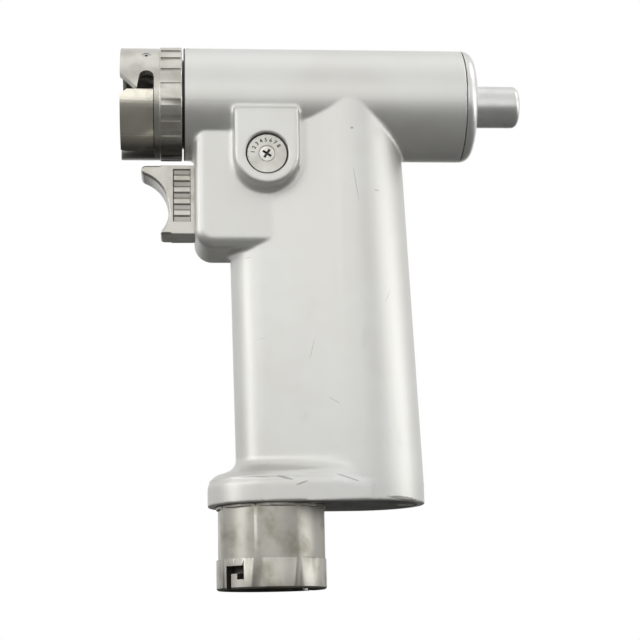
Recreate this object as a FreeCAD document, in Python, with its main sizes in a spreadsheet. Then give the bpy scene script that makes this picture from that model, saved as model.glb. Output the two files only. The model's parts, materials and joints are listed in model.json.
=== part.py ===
"""Pistol-shaped pneumatic drill for the operating room.

The row frame: origin on the spindle axis at the front face of the lock collar.
The nose points to -X, the grip hangs to -Z, and the dial faces -Y.
"""
import FreeCAD, Part
import Sketcher
import math
import os

Vector = FreeCAD.Vector

doc = FreeCAD.newDocument("surgical_drill")
sheet = doc.addObject("Spreadsheet::Sheet", "Sizes")

# Driving sizes in millimetres, degrees or counts
DRIVING_SIZES = [
    ("seat_gap", 0.03, "radial gap of a part that sits still in its bore"),
    ("running_gap", 0.05, "radial gap of a part that turns or slides"),
    ("air_gap", 0.3, "gap between parts that pass each other"),
    ("barrel_radius", 19.0, "outside of the barrel"),
    ("barrel_bore", 16.5, "bore that takes the drive train"),
    ("barrel_length", 94.3, "barrel from front seam to rear seam"),
    ("front_seam", 0.5, "slit between the collar and the barrel"),
    ("rear_seam", 0.25, "slit between the barrel and the rear cap"),
    ("collar_length", 20.4, "lock collar, front face to slit"),
    ("collar_radius", 18.8, "outside of the lock collar"),
    ("hook_length", 11.2, "hooks in front of the collar's closed ring"),
    ("band_start", 13.0, "front edge of the finger band"),
    ("band_radius", 19.15, "outside of the finger band"),
    ("band_groove_width", 2.0, "one groove of the finger band"),
    ("band_groove_depth", 0.55, "depth of the grooves"),
    ("band_groove_count", 22, "grooves round the band"),
    ("collar_turn", 16.0, "degrees that the collar turns to let a pin in"),
    ("hook_angle", 6.9, "degrees from the side plane up to the pin slot"),
    ("pin_slot_width", 4.7, "slot for an attachment's side pin"),
    ("socket_radius", 13.0, "bore that takes an attachment's shank"),
    ("nose_tube_radius", 15.0, "outside of the fixed nose tube"),
    ("nose_tube_front", 2.9, "nose tube's set-back from the collar's front"),
    ("socket_depth", 12.2, "depth of the bore that takes the shank"),
    ("web_setback", 0.6, "front of the nose tube's web behind the barrel's edge"),
    ("head_bore", 12.0, "bore round the spindle's head"),
    ("socket_web", 4.1, "web behind the socket"),
    ("web_bore", 10.5, "hole through that web"),
    ("spring_pocket_radius", 17.4, "pocket for the lock spring"),
    ("spring_pocket_length", 6.0, "length of that pocket"),
    ("lock_spring_wire", 1.0, "wire of the lock spring"),
    ("stop_screw_radius", 1.5, "screws that limit the collar's turn"),
    ("stop_screw_place", 8.6, "their distance from the collar's front"),
    ("spindle_bearing_bore", 5.0, "spindle bearing, inside radius"),
    ("spindle_bearing_rim", 13.0, "spindle bearing, outside radius"),
    ("spindle_bearing_width", 8.0, "spindle bearing, width"),
    ("dog_radius", 9.5, "head of the spindle with its drive slot"),
    ("dog_length", 6.2, "length of that head"),
    ("dog_slot_width", 5.0, "drive slot across the head"),
    ("dog_slot_depth", 3.2, "depth of the drive slot"),
    ("gear_module", 0.75, "module of all gears"),
    ("sun_teeth", 12, "teeth of each sun"),
    ("planet_teeth", 12, "teeth of each planet"),
    ("planet_count", 3, "planets in each stage"),
    ("planet_width", 7.0, "width of a planet"),
    ("carrier_thickness", 2.5, "carrier plates"),
    ("carrier_radius", 12.3, "outside of the carrier plates"),
    ("planet_pin_radius", 1.5, "pins that carry the planets"),
    ("rotor_bearing_bore", 6.0, "rotor bearings, inside radius"),
    ("rotor_bearing_rim", 10.5, "rotor bearings, outside radius"),
    ("rotor_bearing_width", 5.0, "rotor bearings, width"),
    ("plate_lip", 1.1, "lip that holds a rotor bearing"),
    ("lip_bore", 7.4, "bore of that lip"),
    ("rotor_radius", 12.0, "rotor body"),
    ("rotor_length", 29.6, "rotor body"),
    ("cylinder_bore", 13.2, "bore of the motor cylinder"),
    ("cylinder_offset", 0.9, "bore's offset below the rotor's axis"),
    ("vane_count", 5, "vanes in the rotor"),
    ("vane_thickness", 1.5, "one vane"),
    ("vane_height", 5.8, "one vane, along the radius"),
    ("dowel_radius", 1.0, "pin that lines up the motor parts"),
    ("dowel_place", 14.3, "its height above the axis"),
    ("tube_radius", 2.6, "guide tube, outside"),
    ("guide_bore", 2.1, "guide tube, bore for a wire"),
    ("tube_front", 17.0, "guide tube's front end"),
    ("cap_length", 3.8, "rear cap behind its seam"),
    ("cap_edge", 3.6, "rounded edge of the rear cap"),
    ("cap_skirt", 3.2, "thickness of the rear cap's skirt"),
    ("seal_wire", 1.6, "thickness of the rear cap's seal ring"),
    ("stub_radius", 7.1, "guide tube holder, outside"),
    ("stub_length", 16.5, "guide tube holder behind the cap"),
    ("stub_edge", 2.2, "rounded end of the holder"),
    ("stub_thread", 5.0, "holder's shank in the cap"),
    ("stub_thread_length", 8.6, "length of that shank"),
    ("grip_rear_top", 75.4, "centre of the grip's rear round at axis height"),
    ("grip_rear_base", 77.9, "centre of the rear round at the base"),
    ("grip_rear_top_radius", 18.6, "rear round at axis height"),
    ("grip_rear_base_radius", 21.0, "rear round at the base"),
    ("grip_front_top", 48.3, "centre of the grip's front round at axis height"),
    ("grip_front_base", 50.7, "centre of the front round at the base"),
    ("grip_front_radius", 13.0, "grip's front round"),
    ("base_height", 136.6, "underside of the grip below the axis"),
    ("toe_radius", 20.4, "round of the toe above the hose coupling"),
    ("toe_thickness", 6.0, "straight edge of the toe"),
    ("toe_flare", 8.6, "height in which the grip flares out to the toe"),
    ("guard_front", 24.4, "front face of the trigger housing"),
    ("guard_half_width", 13.5, "trigger housing, half its width"),
    ("guard_bottom", 52.7, "trigger housing's underside below the axis"),
    ("guard_length", 31.0, "trigger housing, front to back"),
    ("guard_corner", 3.4, "trigger housing's upright and lower side edges"),
    ("guard_chin", 6.0, "trigger housing's lower front edge"),
    ("boss_x", 48.0, "centre of the dial"),
    ("boss_z", 23.1, "dial below the axis"),
    ("boss_radius", 10.7, "rounded lower end of the boss"),
    ("boss_top", 7.4, "upper edge of the boss below the axis"),
    ("boss_face", 20.3, "flat face of the boss from the middle plane"),
    ("boss_edge", 1.3, "rounded edge of the boss"),
    ("dial_radius", 6.8, "speed dial"),
    ("dial_recess", 3.6, "depth of its recess"),
    ("dial_sink", 1.2, "dial's face below the boss"),
    ("spool_radius", 5.0, "metering spool behind the dial"),
    ("spool_length", 24.0, "metering spool"),
    ("dial_screw_head", 2.7, "screw in the dial, head"),
    ("dial_screw_shank", 1.4, "screw in the dial, shank"),
    ("dial_screw_length", 8.0, "screw in the dial, length"),
    ("trigger_half_width", 6.25, "half the trigger's width"),
    ("trigger_top", 23.3, "trigger's top below the axis"),
    ("trigger_bottom", 46.8, "trigger's underside below the axis"),
    ("trigger_tip", 6.7, "trigger's upper tip"),
    ("trigger_saddle", 15.7, "deepest place of the finger hollow"),
    ("trigger_heel", 13.3, "trigger's lower tip"),
    ("trigger_tail", 28.7, "trigger's hidden back face"),
    ("trigger_travel", 5.0, "stroke of the trigger"),
    ("trigger_slack", 0.15, "gap each side of the trigger in its pocket"),
    ("rib_start", 17.4, "front of the trigger's ribbed panel"),
    ("rib_length", 5.6, "length of that panel"),
    ("rib_pitch", 4.0, "pitch of the panel's grooves"),
    ("rib_groove", 2.0, "one groove"),
    ("rib_depth", 0.75, "depth of the grooves"),
    ("rib_count", 5, "grooves of the panel"),
    ("rib_panel_sink", 0.3, "panel's lands below the trigger's sides"),
    ("rib_panel_drop", 1.3, "panel's top below the trigger's top"),
    ("valve_z", 37.0, "valve axis below the spindle axis"),
    ("valve_radius", 6.0, "bore for the valve sleeve"),
    ("valve_length", 23.4, "valve sleeve"),
    ("stem_radius", 2.0, "trigger stem"),
    ("stem_start", 19.6, "stem's front end inside the trigger"),
    ("poppet_radius", 4.0, "valve head on the stem"),
    ("poppet_place", 46.6, "front face of the valve head"),
    ("poppet_length", 2.2, "valve head"),
    ("valve_chamber", 4.6, "chamber round the valve head"),
    ("valve_throat", 6.4, "part of the sleeve that guides the stem"),
    ("seat_bore", 3.0, "hole in the valve seat"),
    ("valve_seat_length", 2.0, "valve seat ring"),
    ("stem_pin_radius", 0.9, "pin that holds the stem in the trigger"),
    ("pin_cover", 2.0, "metal left over that pin on the dial side"),
    ("trigger_spring_radius", 3.6, "trigger spring, to the wire's centre"),
    ("trigger_spring_wire", 0.9, "wire of the trigger spring"),
    ("trigger_spring_turns", 6, "turns of the trigger spring"),
    ("spring_well", 5.0, "well in the trigger for its spring"),
    ("spring_well_start", 21.8, "front end of that well"),
    ("inlet_x", 48.6, "hose axis"),
    ("inlet_tube_radius", 5.0, "air inlet tube, outside"),
    ("inlet_tube_bore", 3.5, "air inlet tube, bore"),
    ("inlet_tube_top", 44.0, "inlet tube's top below the axis"),
    ("nozzle_depth", 9.8, "inlet tube's end above the coupling's rim"),
    ("nozzle_radius", 4.6, "turned-down end of the inlet tube"),
    ("nozzle_length", 6.2, "length of that end"),
    ("muffler_x", 77.3, "axis of the exhaust chamber"),
    ("muffler_radius", 13.0, "exhaust chamber"),
    ("muffler_top", 27.0, "top of the exhaust chamber below the axis"),
    ("muffler_bore", 7.0, "hole through the exhaust filter"),
    ("port_radius", 2.2, "air passages"),
    ("exhaust_port", 5.0, "passage from the motor to the exhaust chamber"),
    ("plate_thickness", 3.0, "end plate under the grip"),
    ("plate_margin", 2.6, "rim of the grip round the end plate"),
    ("plate_screw_radius", 1.5, "end plate screws, shank"),
    ("plate_screw_head", 2.9, "end plate screws, head"),
    ("plate_screw_length", 9.0, "end plate screws"),
    ("coupling_radius", 17.7, "hose coupling, outside"),
    ("coupling_flats", 33.2, "hose coupling, across its flats"),
    ("coupling_flat_height", 17.0, "part of the coupling that has flats"),
    ("coupling_ring_height", 9.6, "round ring below the flats"),
    ("coupling_bore", 14.2, "socket for the hose end"),
    ("coupling_mouth_depth", 9.6, "depth of that socket"),
    ("coupling_throat", 13.2, "narrower bore above the socket"),
    ("coupling_bore_depth", 18.2, "depth of socket and throat"),
    ("coupling_web", 4.0, "web that holds the inlet tube"),
    ("spigot_radius", 12.0, "coupling's shank in the grip"),
    ("spigot_length", 5.2, "length of that shank"),
    ("spigot_bore", 10.2, "bore of that shank"),
    ("bayonet_width", 2.4, "slots for the hose end's pins"),
    ("bayonet_rise", 7.2, "height of the slots above the rim"),
    ("bayonet_turn", 16.0, "degrees that a slot runs across"),
    ("bayonet_angle", 53.0, "slot's place, degrees from the side plane to the nose"),
]


class Size:
    """A number that remembers the sheet formula it came from."""

    def __init__(self, number, rule):
        self.number = float(number)
        self.rule = rule

    @staticmethod
    def of(value):
        return value if isinstance(value, Size) else Size(value, repr(float(value)))

    def joined(self, other, sign, number):
        return Size(number, "(%s %s %s)" % (self.rule, sign, other.rule))

    def __add__(self, other):
        other = Size.of(other)
        return self.joined(other, "+", self.number + other.number)

    def __sub__(self, other):
        other = Size.of(other)
        return self.joined(other, "-", self.number - other.number)

    def __mul__(self, other):
        other = Size.of(other)
        return self.joined(other, "*", self.number * other.number)

    def __truediv__(self, other):
        other = Size.of(other)
        return self.joined(other, "/", self.number / other.number)

    def __radd__(self, other):
        return Size.of(other) + self

    def __rsub__(self, other):
        return Size.of(other) - self

    def __rmul__(self, other):
        return Size.of(other) * self

    def __neg__(self):
        return Size(-self.number, "(-%s)" % self.rule)

    def __float__(self):
        return self.number


class SizeSheet:
    """Every driving size as an attribute, bound to its cell."""

    def __init__(self):
        for row, (alias, number, note) in enumerate(DRIVING_SIZES, start=1):
            sheet.set("A%d" % row, str(number))
            sheet.setAlias("A%d" % row, alias)
            sheet.set("B%d" % row, note)
            setattr(self, alias, Size(number, "Sizes.%s" % alias))
        doc.recompute()


S = SizeSheet()

# Stations along the spindle axis, worked out from the driving sizes
barrel_front = S.collar_length + S.front_seam
barrel_end = barrel_front + S.barrel_length
socket_end = barrel_front + S.web_setback
bearing_start = socket_end + S.socket_web
bearing_end = bearing_start + S.spindle_bearing_width
ring_gear_start = bearing_end + 0.7
plate2_start = ring_gear_start + 0.5
plate2_end = plate2_start + S.carrier_thickness
planet2_start = plate2_end + 0.4
plate1_start = planet2_start + S.planet_width + 0.9
plate1_end = plate1_start + S.carrier_thickness
planet1_start = plate1_end + 0.4
ring_gear_end = planet1_start + S.planet_width + 1.8
motor_start = ring_gear_end + 0.3
plate_length = S.rotor_bearing_width + S.plate_lip + 0.3
cylinder_start = motor_start + plate_length + 0.1
rotor_start = cylinder_start + 0.1
cylinder_end = rotor_start + S.rotor_length + 0.1
rear_plate_start = cylinder_end + 0.1
rear_plate_end = rear_plate_start + plate_length
skirt_start = rear_plate_end + 0.3
cap_start = barrel_end + S.rear_seam
cap_end = cap_start + S.cap_length
stub_end = cap_end + S.stub_length
sun_radius = S.gear_module * S.sun_teeth * 0.5
planet_radius = S.gear_module * S.planet_teeth * 0.5
planet_orbit = sun_radius + planet_radius
sun_core = sun_radius - S.gear_module * 1.4
shaft_bore = S.tube_radius + S.running_gap * 3
trigger_pocket_end = S.trigger_tail + S.trigger_travel + S.air_gap
coupling_bottom = S.base_height + S.coupling_flat_height + S.coupling_ring_height

NODES = []


def bind(item, **rules):
    """Tie properties of an object to the sheet."""
    for name, size in rules.items():
        item.setExpression(name.replace("__", "."), Size.of(size).rule)


def put(item, x=0, y=0, z=0, turn=None):
    """Place an object, with its position tied to the sheet."""
    if turn is not None:
        item.Placement = FreeCAD.Placement(Vector(0, 0, 0), turn)
    bind(item, Placement__Base__x=x, Placement__Base__y=y, Placement__Base__z=z)
    return item


def node(item, label):
    """Keep an object as one sub-part of the drill."""
    item.Label = label
    NODES.append(item)
    return item


AXIS_TURNS = {
    "X": FreeCAD.Rotation(Vector(0, 1, 0), 90),
    "Y": FreeCAD.Rotation(Vector(1, 0, 0), -90),
    "Z": FreeCAD.Rotation(),
}


def cylinder(name, along, radius, length, x=0, y=0, z=0):
    item = doc.addObject("Part::Cylinder", name)
    bind(item, Radius=radius, Height=length)
    return put(item, x, y, z, AXIS_TURNS[along])


def box(name, size_x, size_y, size_z, x=0, y=0, z=0):
    item = doc.addObject("Part::Box", name)
    bind(item, Length=size_x, Width=size_y, Height=size_z)
    return put(item, x, y, z)


def fuse(name, *pieces):
    item = doc.addObject("Part::MultiFuse", name)
    item.Shapes = list(pieces)
    return item


def cut(name, base, *tools):
    item = doc.addObject("Part::Cut", name)
    item.Base = base
    item.Tool = tools[0] if len(tools) == 1 else fuse(name + "_tools", *tools)
    return item


def group(name, *pieces):
    item = doc.addObject("Part::Compound", name)
    item.Links = list(pieces)
    return item


def origin_plane(body, role):
    return [plane for plane in body.Origin.OriginFeatures if plane.Role == role][0]


def new_sketch(body, name, role, offset=None):
    sketch = body.newObject("Sketcher::SketchObject", name)
    sketch.AttachmentSupport = [(origin_plane(body, role), "")]
    sketch.MapMode = "FlatFace"
    if offset is not None:
        sketch.setExpression("AttachmentOffset.Base.z", Size.of(offset).rule)
    return sketch


def tie_point(sketch, edge, end, across, up):
    """Hold a sketch point at two sizes from the sketch's origin."""
    for kind, size, axis in (("DistanceX", across, -2), ("DistanceY", up, -1)):
        size = Size.of(size)
        if size.rule == "0.0":
            sketch.addConstraint(Sketcher.Constraint("PointOnObject", edge, end, axis))
        else:
            row = sketch.addConstraint(
                Sketcher.Constraint(kind, -1, 1, edge, end, size.number))
            sketch.setExpression("Constraints[%d]" % row, size.rule)


def add_outline(sketch, points):
    """Closed outline of straight lines through tied points."""
    corners = [Vector(float(across), float(up), 0) for across, up in points]
    count = len(corners)
    first = sketch.GeometryCount
    for index in range(count):
        line = Part.LineSegment(corners[index], corners[(index + 1) % count])
        sketch.addGeometry(line, False)
    for index in range(count):
        following = first + (index + 1) % count
        sketch.addConstraint(
            Sketcher.Constraint("Coincident", first + index, 2, following, 1))
    for index, (across, up) in enumerate(points):
        tie_point(sketch, first + index, 1, across, up)


TURNED_PLANES = {
    "X": ("XY_Plane", "H_Axis"),
    "Y": ("XY_Plane", "V_Axis"),
    "Z": ("XZ_Plane", "V_Axis"),
}


def turned(name, along, profile, x=0, y=0, z=0):
    """Body of revolution; the profile lists (place along the axis, radius)."""
    body = doc.addObject("PartDesign::Body", name)
    role, axis = TURNED_PLANES[along]
    sketch = new_sketch(body, name + "_profile", role)
    points = profile if along == "X" else [(radius, place) for place, radius in profile]
    add_outline(sketch, points)
    turn = body.newObject("PartDesign::Revolution", name + "_turn")
    turn.Profile = sketch
    turn.ReferenceAxis = (sketch, [axis])
    turn.Angle = 360
    put(body, x, y, z)
    return body


def bush(name, along, outer, inner, start, end, x=0, y=0, z=0):
    """Plain ring or tube."""
    profile = [(start, inner), (start, outer), (end, outer), (end, inner)]
    return turned(name, along, profile, x, y, z)


def solid_of(name, shape, x=0, y=0, z=0):
    """Object whose form comes from a worked-out shape, kept where it was made."""
    place = shape.Placement
    item = doc.addObject("Part::Feature", name)
    item.Shape = shape
    return put(item, x + place.Base.x, y + place.Base.y, z + place.Base.z, place.Rotation)


def rounded(name, base, radius, chosen):
    """Round the edges of an object that the given test picks."""
    doc.recompute()
    edges = base.Shape.Edges
    picked = [index for index, edge in enumerate(edges, start=1) if chosen(edge)]
    item = doc.addObject("Part::Fillet", name)
    item.Base = base
    item.Edges = [(index, float(radius), float(radius)) for index in picked]
    return item


# Angles round the spindle axis start at the dial side and rise to the top
def round_axis(angle, radius):
    """Y and Z of a point at this angle, in degrees from -Y towards +Z."""
    turn = math.radians(angle)
    return -radius * math.cos(turn), radius * math.sin(turn)


def arc_sector(inner, outer, start, end, low_angle, high_angle):
    """Part of a ring, between two stations and two angles."""
    ring = Part.makeCylinder(outer, end - start, Vector(start, 0, 0), Vector(1, 0, 0))
    hole = Part.makeCylinder(inner, end - start, Vector(start, 0, 0), Vector(1, 0, 0))
    reach = 3 * outer
    steps = 4
    fan = [Vector(start, 0, 0)]
    for step in range(steps + 1):
        angle = low_angle + (high_angle - low_angle) * step / steps
        y, z = round_axis(angle, reach)
        fan.append(Vector(start, y, z))
    wedge = Part.Face(Part.makePolygon(fan + fan[:1])).extrude(Vector(end - start, 0, 0))
    return ring.cut(hole).common(wedge)


def radial_prism(outline, angle, inner, outer):
    """Outline of (station, rise) cut straight through the wall at an angle."""
    face = Part.Face(Part.Wire(outline))
    prism = face.extrude(Vector(0, -(outer - inner), 0))
    prism.translate(Vector(0, -inner, 0))
    prism.rotate(Vector(0, 0, 0), Vector(1, 0, 0), -angle)
    return prism


def flat_outline(points):
    """Edges through (station, rise) points, closed."""
    corners = [Vector(station, 0, rise) for station, rise in points]
    return Part.makePolygon(corners + corners[:1]).Edges


# Lock collar and nose

HOOK_STARTS = (0.0, 180.0)
PIN_SLOT_MARGIN = 10.3
TOOTH_ANGLE = 8.5
FLOOR_ANGLE = 10.3
MOUTH_ANGLE = 8.9
SECTOR_SPAN = 70.6
TOOTH_STATION = 5.6
TOOTH_BACK = 6.3
LEAD_STATION = 2.4
LEAD_ANGLE = 5.2
STOP_SCREW_ANGLE = 41.0


def rise(angle):
    """Height over a radial plane of a point at an angle from that plane."""
    return float(S.collar_radius) * math.sin(math.radians(angle))


def hook_void(angle):
    """What the lock hook leaves open: mouth, tooth and pin pocket."""
    end = float(S.hook_length)
    top = rise(PIN_SLOT_MARGIN)
    corner = 0.5 * (end - TOOTH_BACK)
    low = rise(-40.0)
    points = [
        Vector(-1.0, 0, rise(MOUTH_ANGLE) + 0.6),
        Vector(TOOTH_STATION, 0, -rise(TOOTH_ANGLE)),
        Vector(TOOTH_BACK, 0, top - corner),
        Vector(end, 0, top - corner),
        Vector(end, 0, low),
        Vector(-1.0, 0, low),
    ]
    crown = Part.Arc(points[2], Vector(TOOTH_BACK + corner, 0, top), points[3]).toShape()
    lines = [(0, 1), (1, 2), (3, 4), (4, 5), (5, 0)]
    edges = [Part.LineSegment(points[a], points[b]).toShape() for a, b in lines]
    edges.insert(2, crown)
    return radial_prism(edges, angle, float(S.socket_radius), float(S.barrel_radius) + 3)


def collar_hooks():
    """The two hooks that stand in front of the collar's ring."""
    hooks = []
    inner = float(S.nose_tube_radius + S.running_gap)
    low = float(S.hook_angle) - 25.0
    high = 90.0 - 0.5
    for start in HOOK_STARTS:
        sector = arc_sector(inner, float(S.collar_radius), 0.0,
                            float(S.hook_length) + 0.5, start + low, start + high)
        lead = LEAD_STATION * 0.6
        corner = flat_outline([(-1, rise(8.0)), (-1, -rise(5.0)), (lead + 1, rise(8.0))])
        relief = radial_prism(corner, start + high, inner - 1, float(S.barrel_radius) + 3)
        hooks.append(sector.cut(hook_void(start + float(S.hook_angle))).cut(relief))
    return solid_of("collar_hook_pair", hooks[0].fuse(hooks[1]))


def lock_collar():
    ring = turned("collar_ring", "X", [
        (S.hook_length, S.nose_tube_radius + S.running_gap),
        (S.hook_length, S.collar_radius),
        (S.band_start, S.collar_radius),
        (S.band_start, S.band_radius - 0.25),
        (S.band_start + 0.25, S.band_radius),
        (S.collar_length - 0.25, S.band_radius),
        (S.collar_length, S.band_radius - 0.25),
        (S.collar_length, S.spring_pocket_radius),
        (S.collar_length - S.spring_pocket_length, S.spring_pocket_radius),
        (S.collar_length - S.spring_pocket_length, S.nose_tube_radius + S.running_gap),
    ])
    doc.recompute()
    sketch = new_sketch(ring, "band_groove", "XY_Plane")
    low = S.band_radius - S.band_groove_depth
    start = S.band_start + 0.4
    end = S.collar_length - 0.4
    top = S.band_radius + 1
    add_outline(sketch, [(start, low), (end, low), (end, top), (start, top)])
    groove = ring.newObject("PartDesign::Pocket", "band_groove_cut")
    groove.Profile = sketch
    groove.Midplane = True
    bind(groove, Length=S.band_groove_width)
    pattern = ring.newObject("PartDesign::PolarPattern", "band_grooves")
    pattern.Originals = [groove]
    pattern.Axis = (sketch, ["H_Axis"])
    pattern.Angle = 360
    pattern.Occurrences = int(S.band_groove_count.number)
    ring.Tip = pattern
    whole = fuse("collar_whole", ring, collar_hooks())
    holes = [stop_screw_bore("collar_screw_hole_%d" % index, start, S.stop_screw_radius)
             for index, start in enumerate(HOOK_STARTS)]
    return node(cut("lock_collar", whole, *holes), "lock_collar")


def stop_screw_bore(name, start, radius):
    """Round radial cylinder through the collar at a stop screw."""
    angle = start + STOP_SCREW_ANGLE
    y, z = round_axis(angle, 1.0)
    inner = float(S.nose_tube_radius) - 0.9
    outer = float(S.collar_radius) - 0.15
    place = float(S.stop_screw_place)
    base = Vector(place, y * inner, z * inner)
    return solid_of(name, Part.makeCylinder(float(radius), outer - inner + 2.0, base,
                                            Vector(0, y, z)))


def collar_stop_screws():
    """Flush grub screws whose tips ride in arc slots of the nose tube."""
    screws = []
    inner = float(S.nose_tube_radius) - 0.75
    outer = float(S.collar_radius) - 0.25
    for start in HOOK_STARTS:
        y, z = round_axis(start + STOP_SCREW_ANGLE, 1.0)
        base = Vector(float(S.stop_screw_place), y * inner, z * inner)
        radius = float(S.stop_screw_radius - S.seat_gap)
        shank = Part.makeCylinder(radius, outer - inner, base, Vector(0, y, z))
        rim = Vector(float(S.stop_screw_place), y * (outer - 1.0), z * (outer - 1.0))
        drive = Part.makeCylinder(0.55, 1.5, rim, Vector(0, y, z))
        screws.append(shank.cut(drive))
    return node(solid_of("collar_stop_screws", Part.makeCompound(screws)), "collar_stop_screws")


def nose_sectors():
    """Fixed sectors between the hooks, with their lead-in corners."""
    sectors = []
    inner = float(S.nose_tube_radius) - 0.8
    end = float(S.hook_length) - 0.25
    for start in HOOK_STARTS:
        floor = start + float(S.hook_angle) - FLOOR_ANGLE
        sector = arc_sector(inner, float(S.collar_radius), 0.0, end, floor - SECTOR_SPAN, floor)
        reach = rise(LEAD_ANGLE)
        upper = flat_outline([(-1, 1), (-1, -reach - 0.7), (LEAD_STATION, 0), (LEAD_STATION, 1)])
        lower = flat_outline([(-1, -1), (-1, reach * 0.6), (LEAD_STATION * 0.6, 0),
                              (LEAD_STATION * 0.6, -1)])
        outer = float(S.barrel_radius) + 3
        sector = sector.cut(radial_prism(upper, floor, inner - 1, outer))
        sector = sector.cut(radial_prism(lower, floor - SECTOR_SPAN, inner - 1, outer))
        front_core = Part.makeCylinder(float(S.nose_tube_radius), float(S.nose_tube_front),
                                       Vector(0, 0, 0), Vector(1, 0, 0))
        sectors.append(sector.cut(front_core))
    return solid_of("nose_sector_pair", sectors[0].fuse(sectors[1]))


def nose_sleeve():
    """Fixed nose: socket tube, web and seat of the spindle bearing."""
    rim = S.barrel_bore - S.seat_gap
    seat = S.spindle_bearing_rim + S.seat_gap
    tube = turned("nose_tube", "X", [
        (S.nose_tube_front, S.socket_radius),
        (S.nose_tube_front, S.nose_tube_radius),
        (barrel_front, S.nose_tube_radius),
        (barrel_front, rim),
        (bearing_end + 0.4, rim),
        (bearing_end + 0.4, seat),
        (bearing_start, seat),
        (bearing_start, S.web_bore),
        (socket_end, S.web_bore),
        (socket_end, S.head_bore),
        (S.nose_tube_front + S.socket_depth, S.head_bore),
        (S.nose_tube_front + S.socket_depth, S.socket_radius),
    ])
    tools = []
    for index, start in enumerate(HOOK_STARTS):
        tools.append(pin_slot("pin_slot_%d" % index, start + float(S.hook_angle)))
        tools.append(stop_slot("stop_slot_%d" % index, start + STOP_SCREW_ANGLE))
    whole = fuse("nose_whole", tube, nose_sectors())
    return node(cut("nose_sleeve", whole, *tools), "nose_sleeve")


def pin_slot(name, angle):
    """Slot in the nose tube, open at the front, for an attachment's pin."""
    half = float(S.pin_slot_width) / 2
    end = float(S.hook_length) - 0.2
    slot = flat_outline([(0, -half), (0, half), (end - half, half), (end, half * 0.4),
                         (end, -half * 0.4), (end - half, -half)])
    prism = radial_prism(slot, angle, float(S.socket_radius) - 2, float(S.nose_tube_radius) + 1)
    return solid_of(name, prism)


def stop_slot(name, angle):
    """Arc slot that a stop screw's tip travels in."""
    half = float(S.stop_screw_radius) + 0.15
    margin = math.degrees(half / float(S.nose_tube_radius))
    place = float(S.stop_screw_place)
    shape = arc_sector(float(S.nose_tube_radius) - 1.0, float(S.nose_tube_radius) + 1.0,
                       place - half, place + half, angle - margin,
                       angle + float(S.collar_turn) + margin)
    return solid_of(name, shape)


def lock_spring():
    """Torsion spring that turns the collar back, three close turns."""
    wire = S.lock_spring_wire / 2
    middle = (S.nose_tube_radius + S.spring_pocket_radius) * 0.5
    turns = []
    for index in range(3):
        ring = doc.addObject("Part::Torus", "lock_spring_turn_%d" % index)
        bind(ring, Radius1=middle, Radius2=wire)
        station = S.collar_length - S.spring_pocket_length + S.air_gap + wire
        put(ring, station + S.lock_spring_wire * (index * 0.98), 0, 0, AXIS_TURNS["X"])
        turns.append(ring)
    return node(fuse("lock_spring", *turns), "lock_spring")


# Ball bearings

def bearing(name, bore, rim, width, start, ball_count):
    """Two rings and the balls between them, as three sub-parts."""
    middle = (bore + rim) * 0.5
    ring_wall = (rim - bore) * 0.3
    ball_radius = (rim - bore) * 0.5 - ring_wall - 0.03
    node(bush(name + "_outer", "X", rim, rim - ring_wall, start, start + width), name + "_outer")
    node(bush(name + "_inner", "X", bore + ring_wall, bore, start, start + width),
         name + "_inner")
    balls = []
    for index in range(ball_count):
        y, z = round_axis(360.0 * index / ball_count, 1.0)
        sphere = doc.addObject("Part::Sphere", "%s_ball_%d" % (name, index))
        bind(sphere, Radius=ball_radius)
        put(sphere, start + width * 0.5, middle * y, middle * z)
        balls.append(sphere)
    return node(group(name + "_balls", *balls), name + "_balls")


# Gears

PRESSURE_ANGLE = 25.0
ADDENDUM = 0.8
DEDENDUM = 0.98
TOOTH_THINNING = 0.1


def tooth_half_angle(pitch, radius, teeth, inward):
    """Half the angle that a tooth spans at a radius, from the involute."""
    pressure = math.radians(PRESSURE_ANGLE)
    base = pitch * math.cos(pressure)
    local = math.acos(min(1.0, base / max(radius, base)))
    swing = math.tan(local) - local
    swing -= math.tan(pressure) - pressure
    half = math.pi / (2 * teeth) - TOOTH_THINNING / (2 * pitch)
    return half + swing if inward else half - swing


def gear_outline(teeth, first_tooth, ring=False):
    """Wire round a spur gear; a ring gear's teeth point inwards."""
    module = float(S.gear_module)
    pitch = module * teeth / 2
    tip = pitch + (-ADDENDUM if ring else ADDENDUM) * module
    root = pitch + (DEDENDUM if ring else -DEDENDUM) * module
    low_flank = max(root, pitch * math.cos(math.radians(PRESSURE_ANGLE)))
    start = root if ring else low_flank
    radii = [start, pitch, tip]
    corners = []
    for tooth in range(teeth):
        centre = math.radians(first_tooth) + 2 * math.pi * tooth / teeth
        flank = [(r, tooth_half_angle(pitch, r, teeth, ring)) for r in radii]
        if not ring:
            flank.insert(0, (root, flank[0][1]))
        for radius, half in flank:
            corners.append((radius, centre - half))
        for radius, half in reversed(flank):
            corners.append((radius, centre + half))
    points = []
    for radius, angle in corners:
        y, z = round_axis(math.degrees(angle), radius)
        points.append(Vector(0, y, z))
    return Part.makePolygon(points + points[:1])


def gear_blank(teeth, first_tooth, width, bore):
    """Spur gear with a bore, from the origin along the axis."""
    face = Part.Face(gear_outline(teeth, first_tooth))
    body = face.extrude(Vector(float(width), 0, 0))
    hole = Part.makeCylinder(float(bore), float(width), Vector(0, 0, 0), Vector(1, 0, 0))
    return body.cut(hole)


def planet_angles():
    count = int(S.planet_count.number)
    return [360.0 * index / count for index in range(count)]


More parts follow.
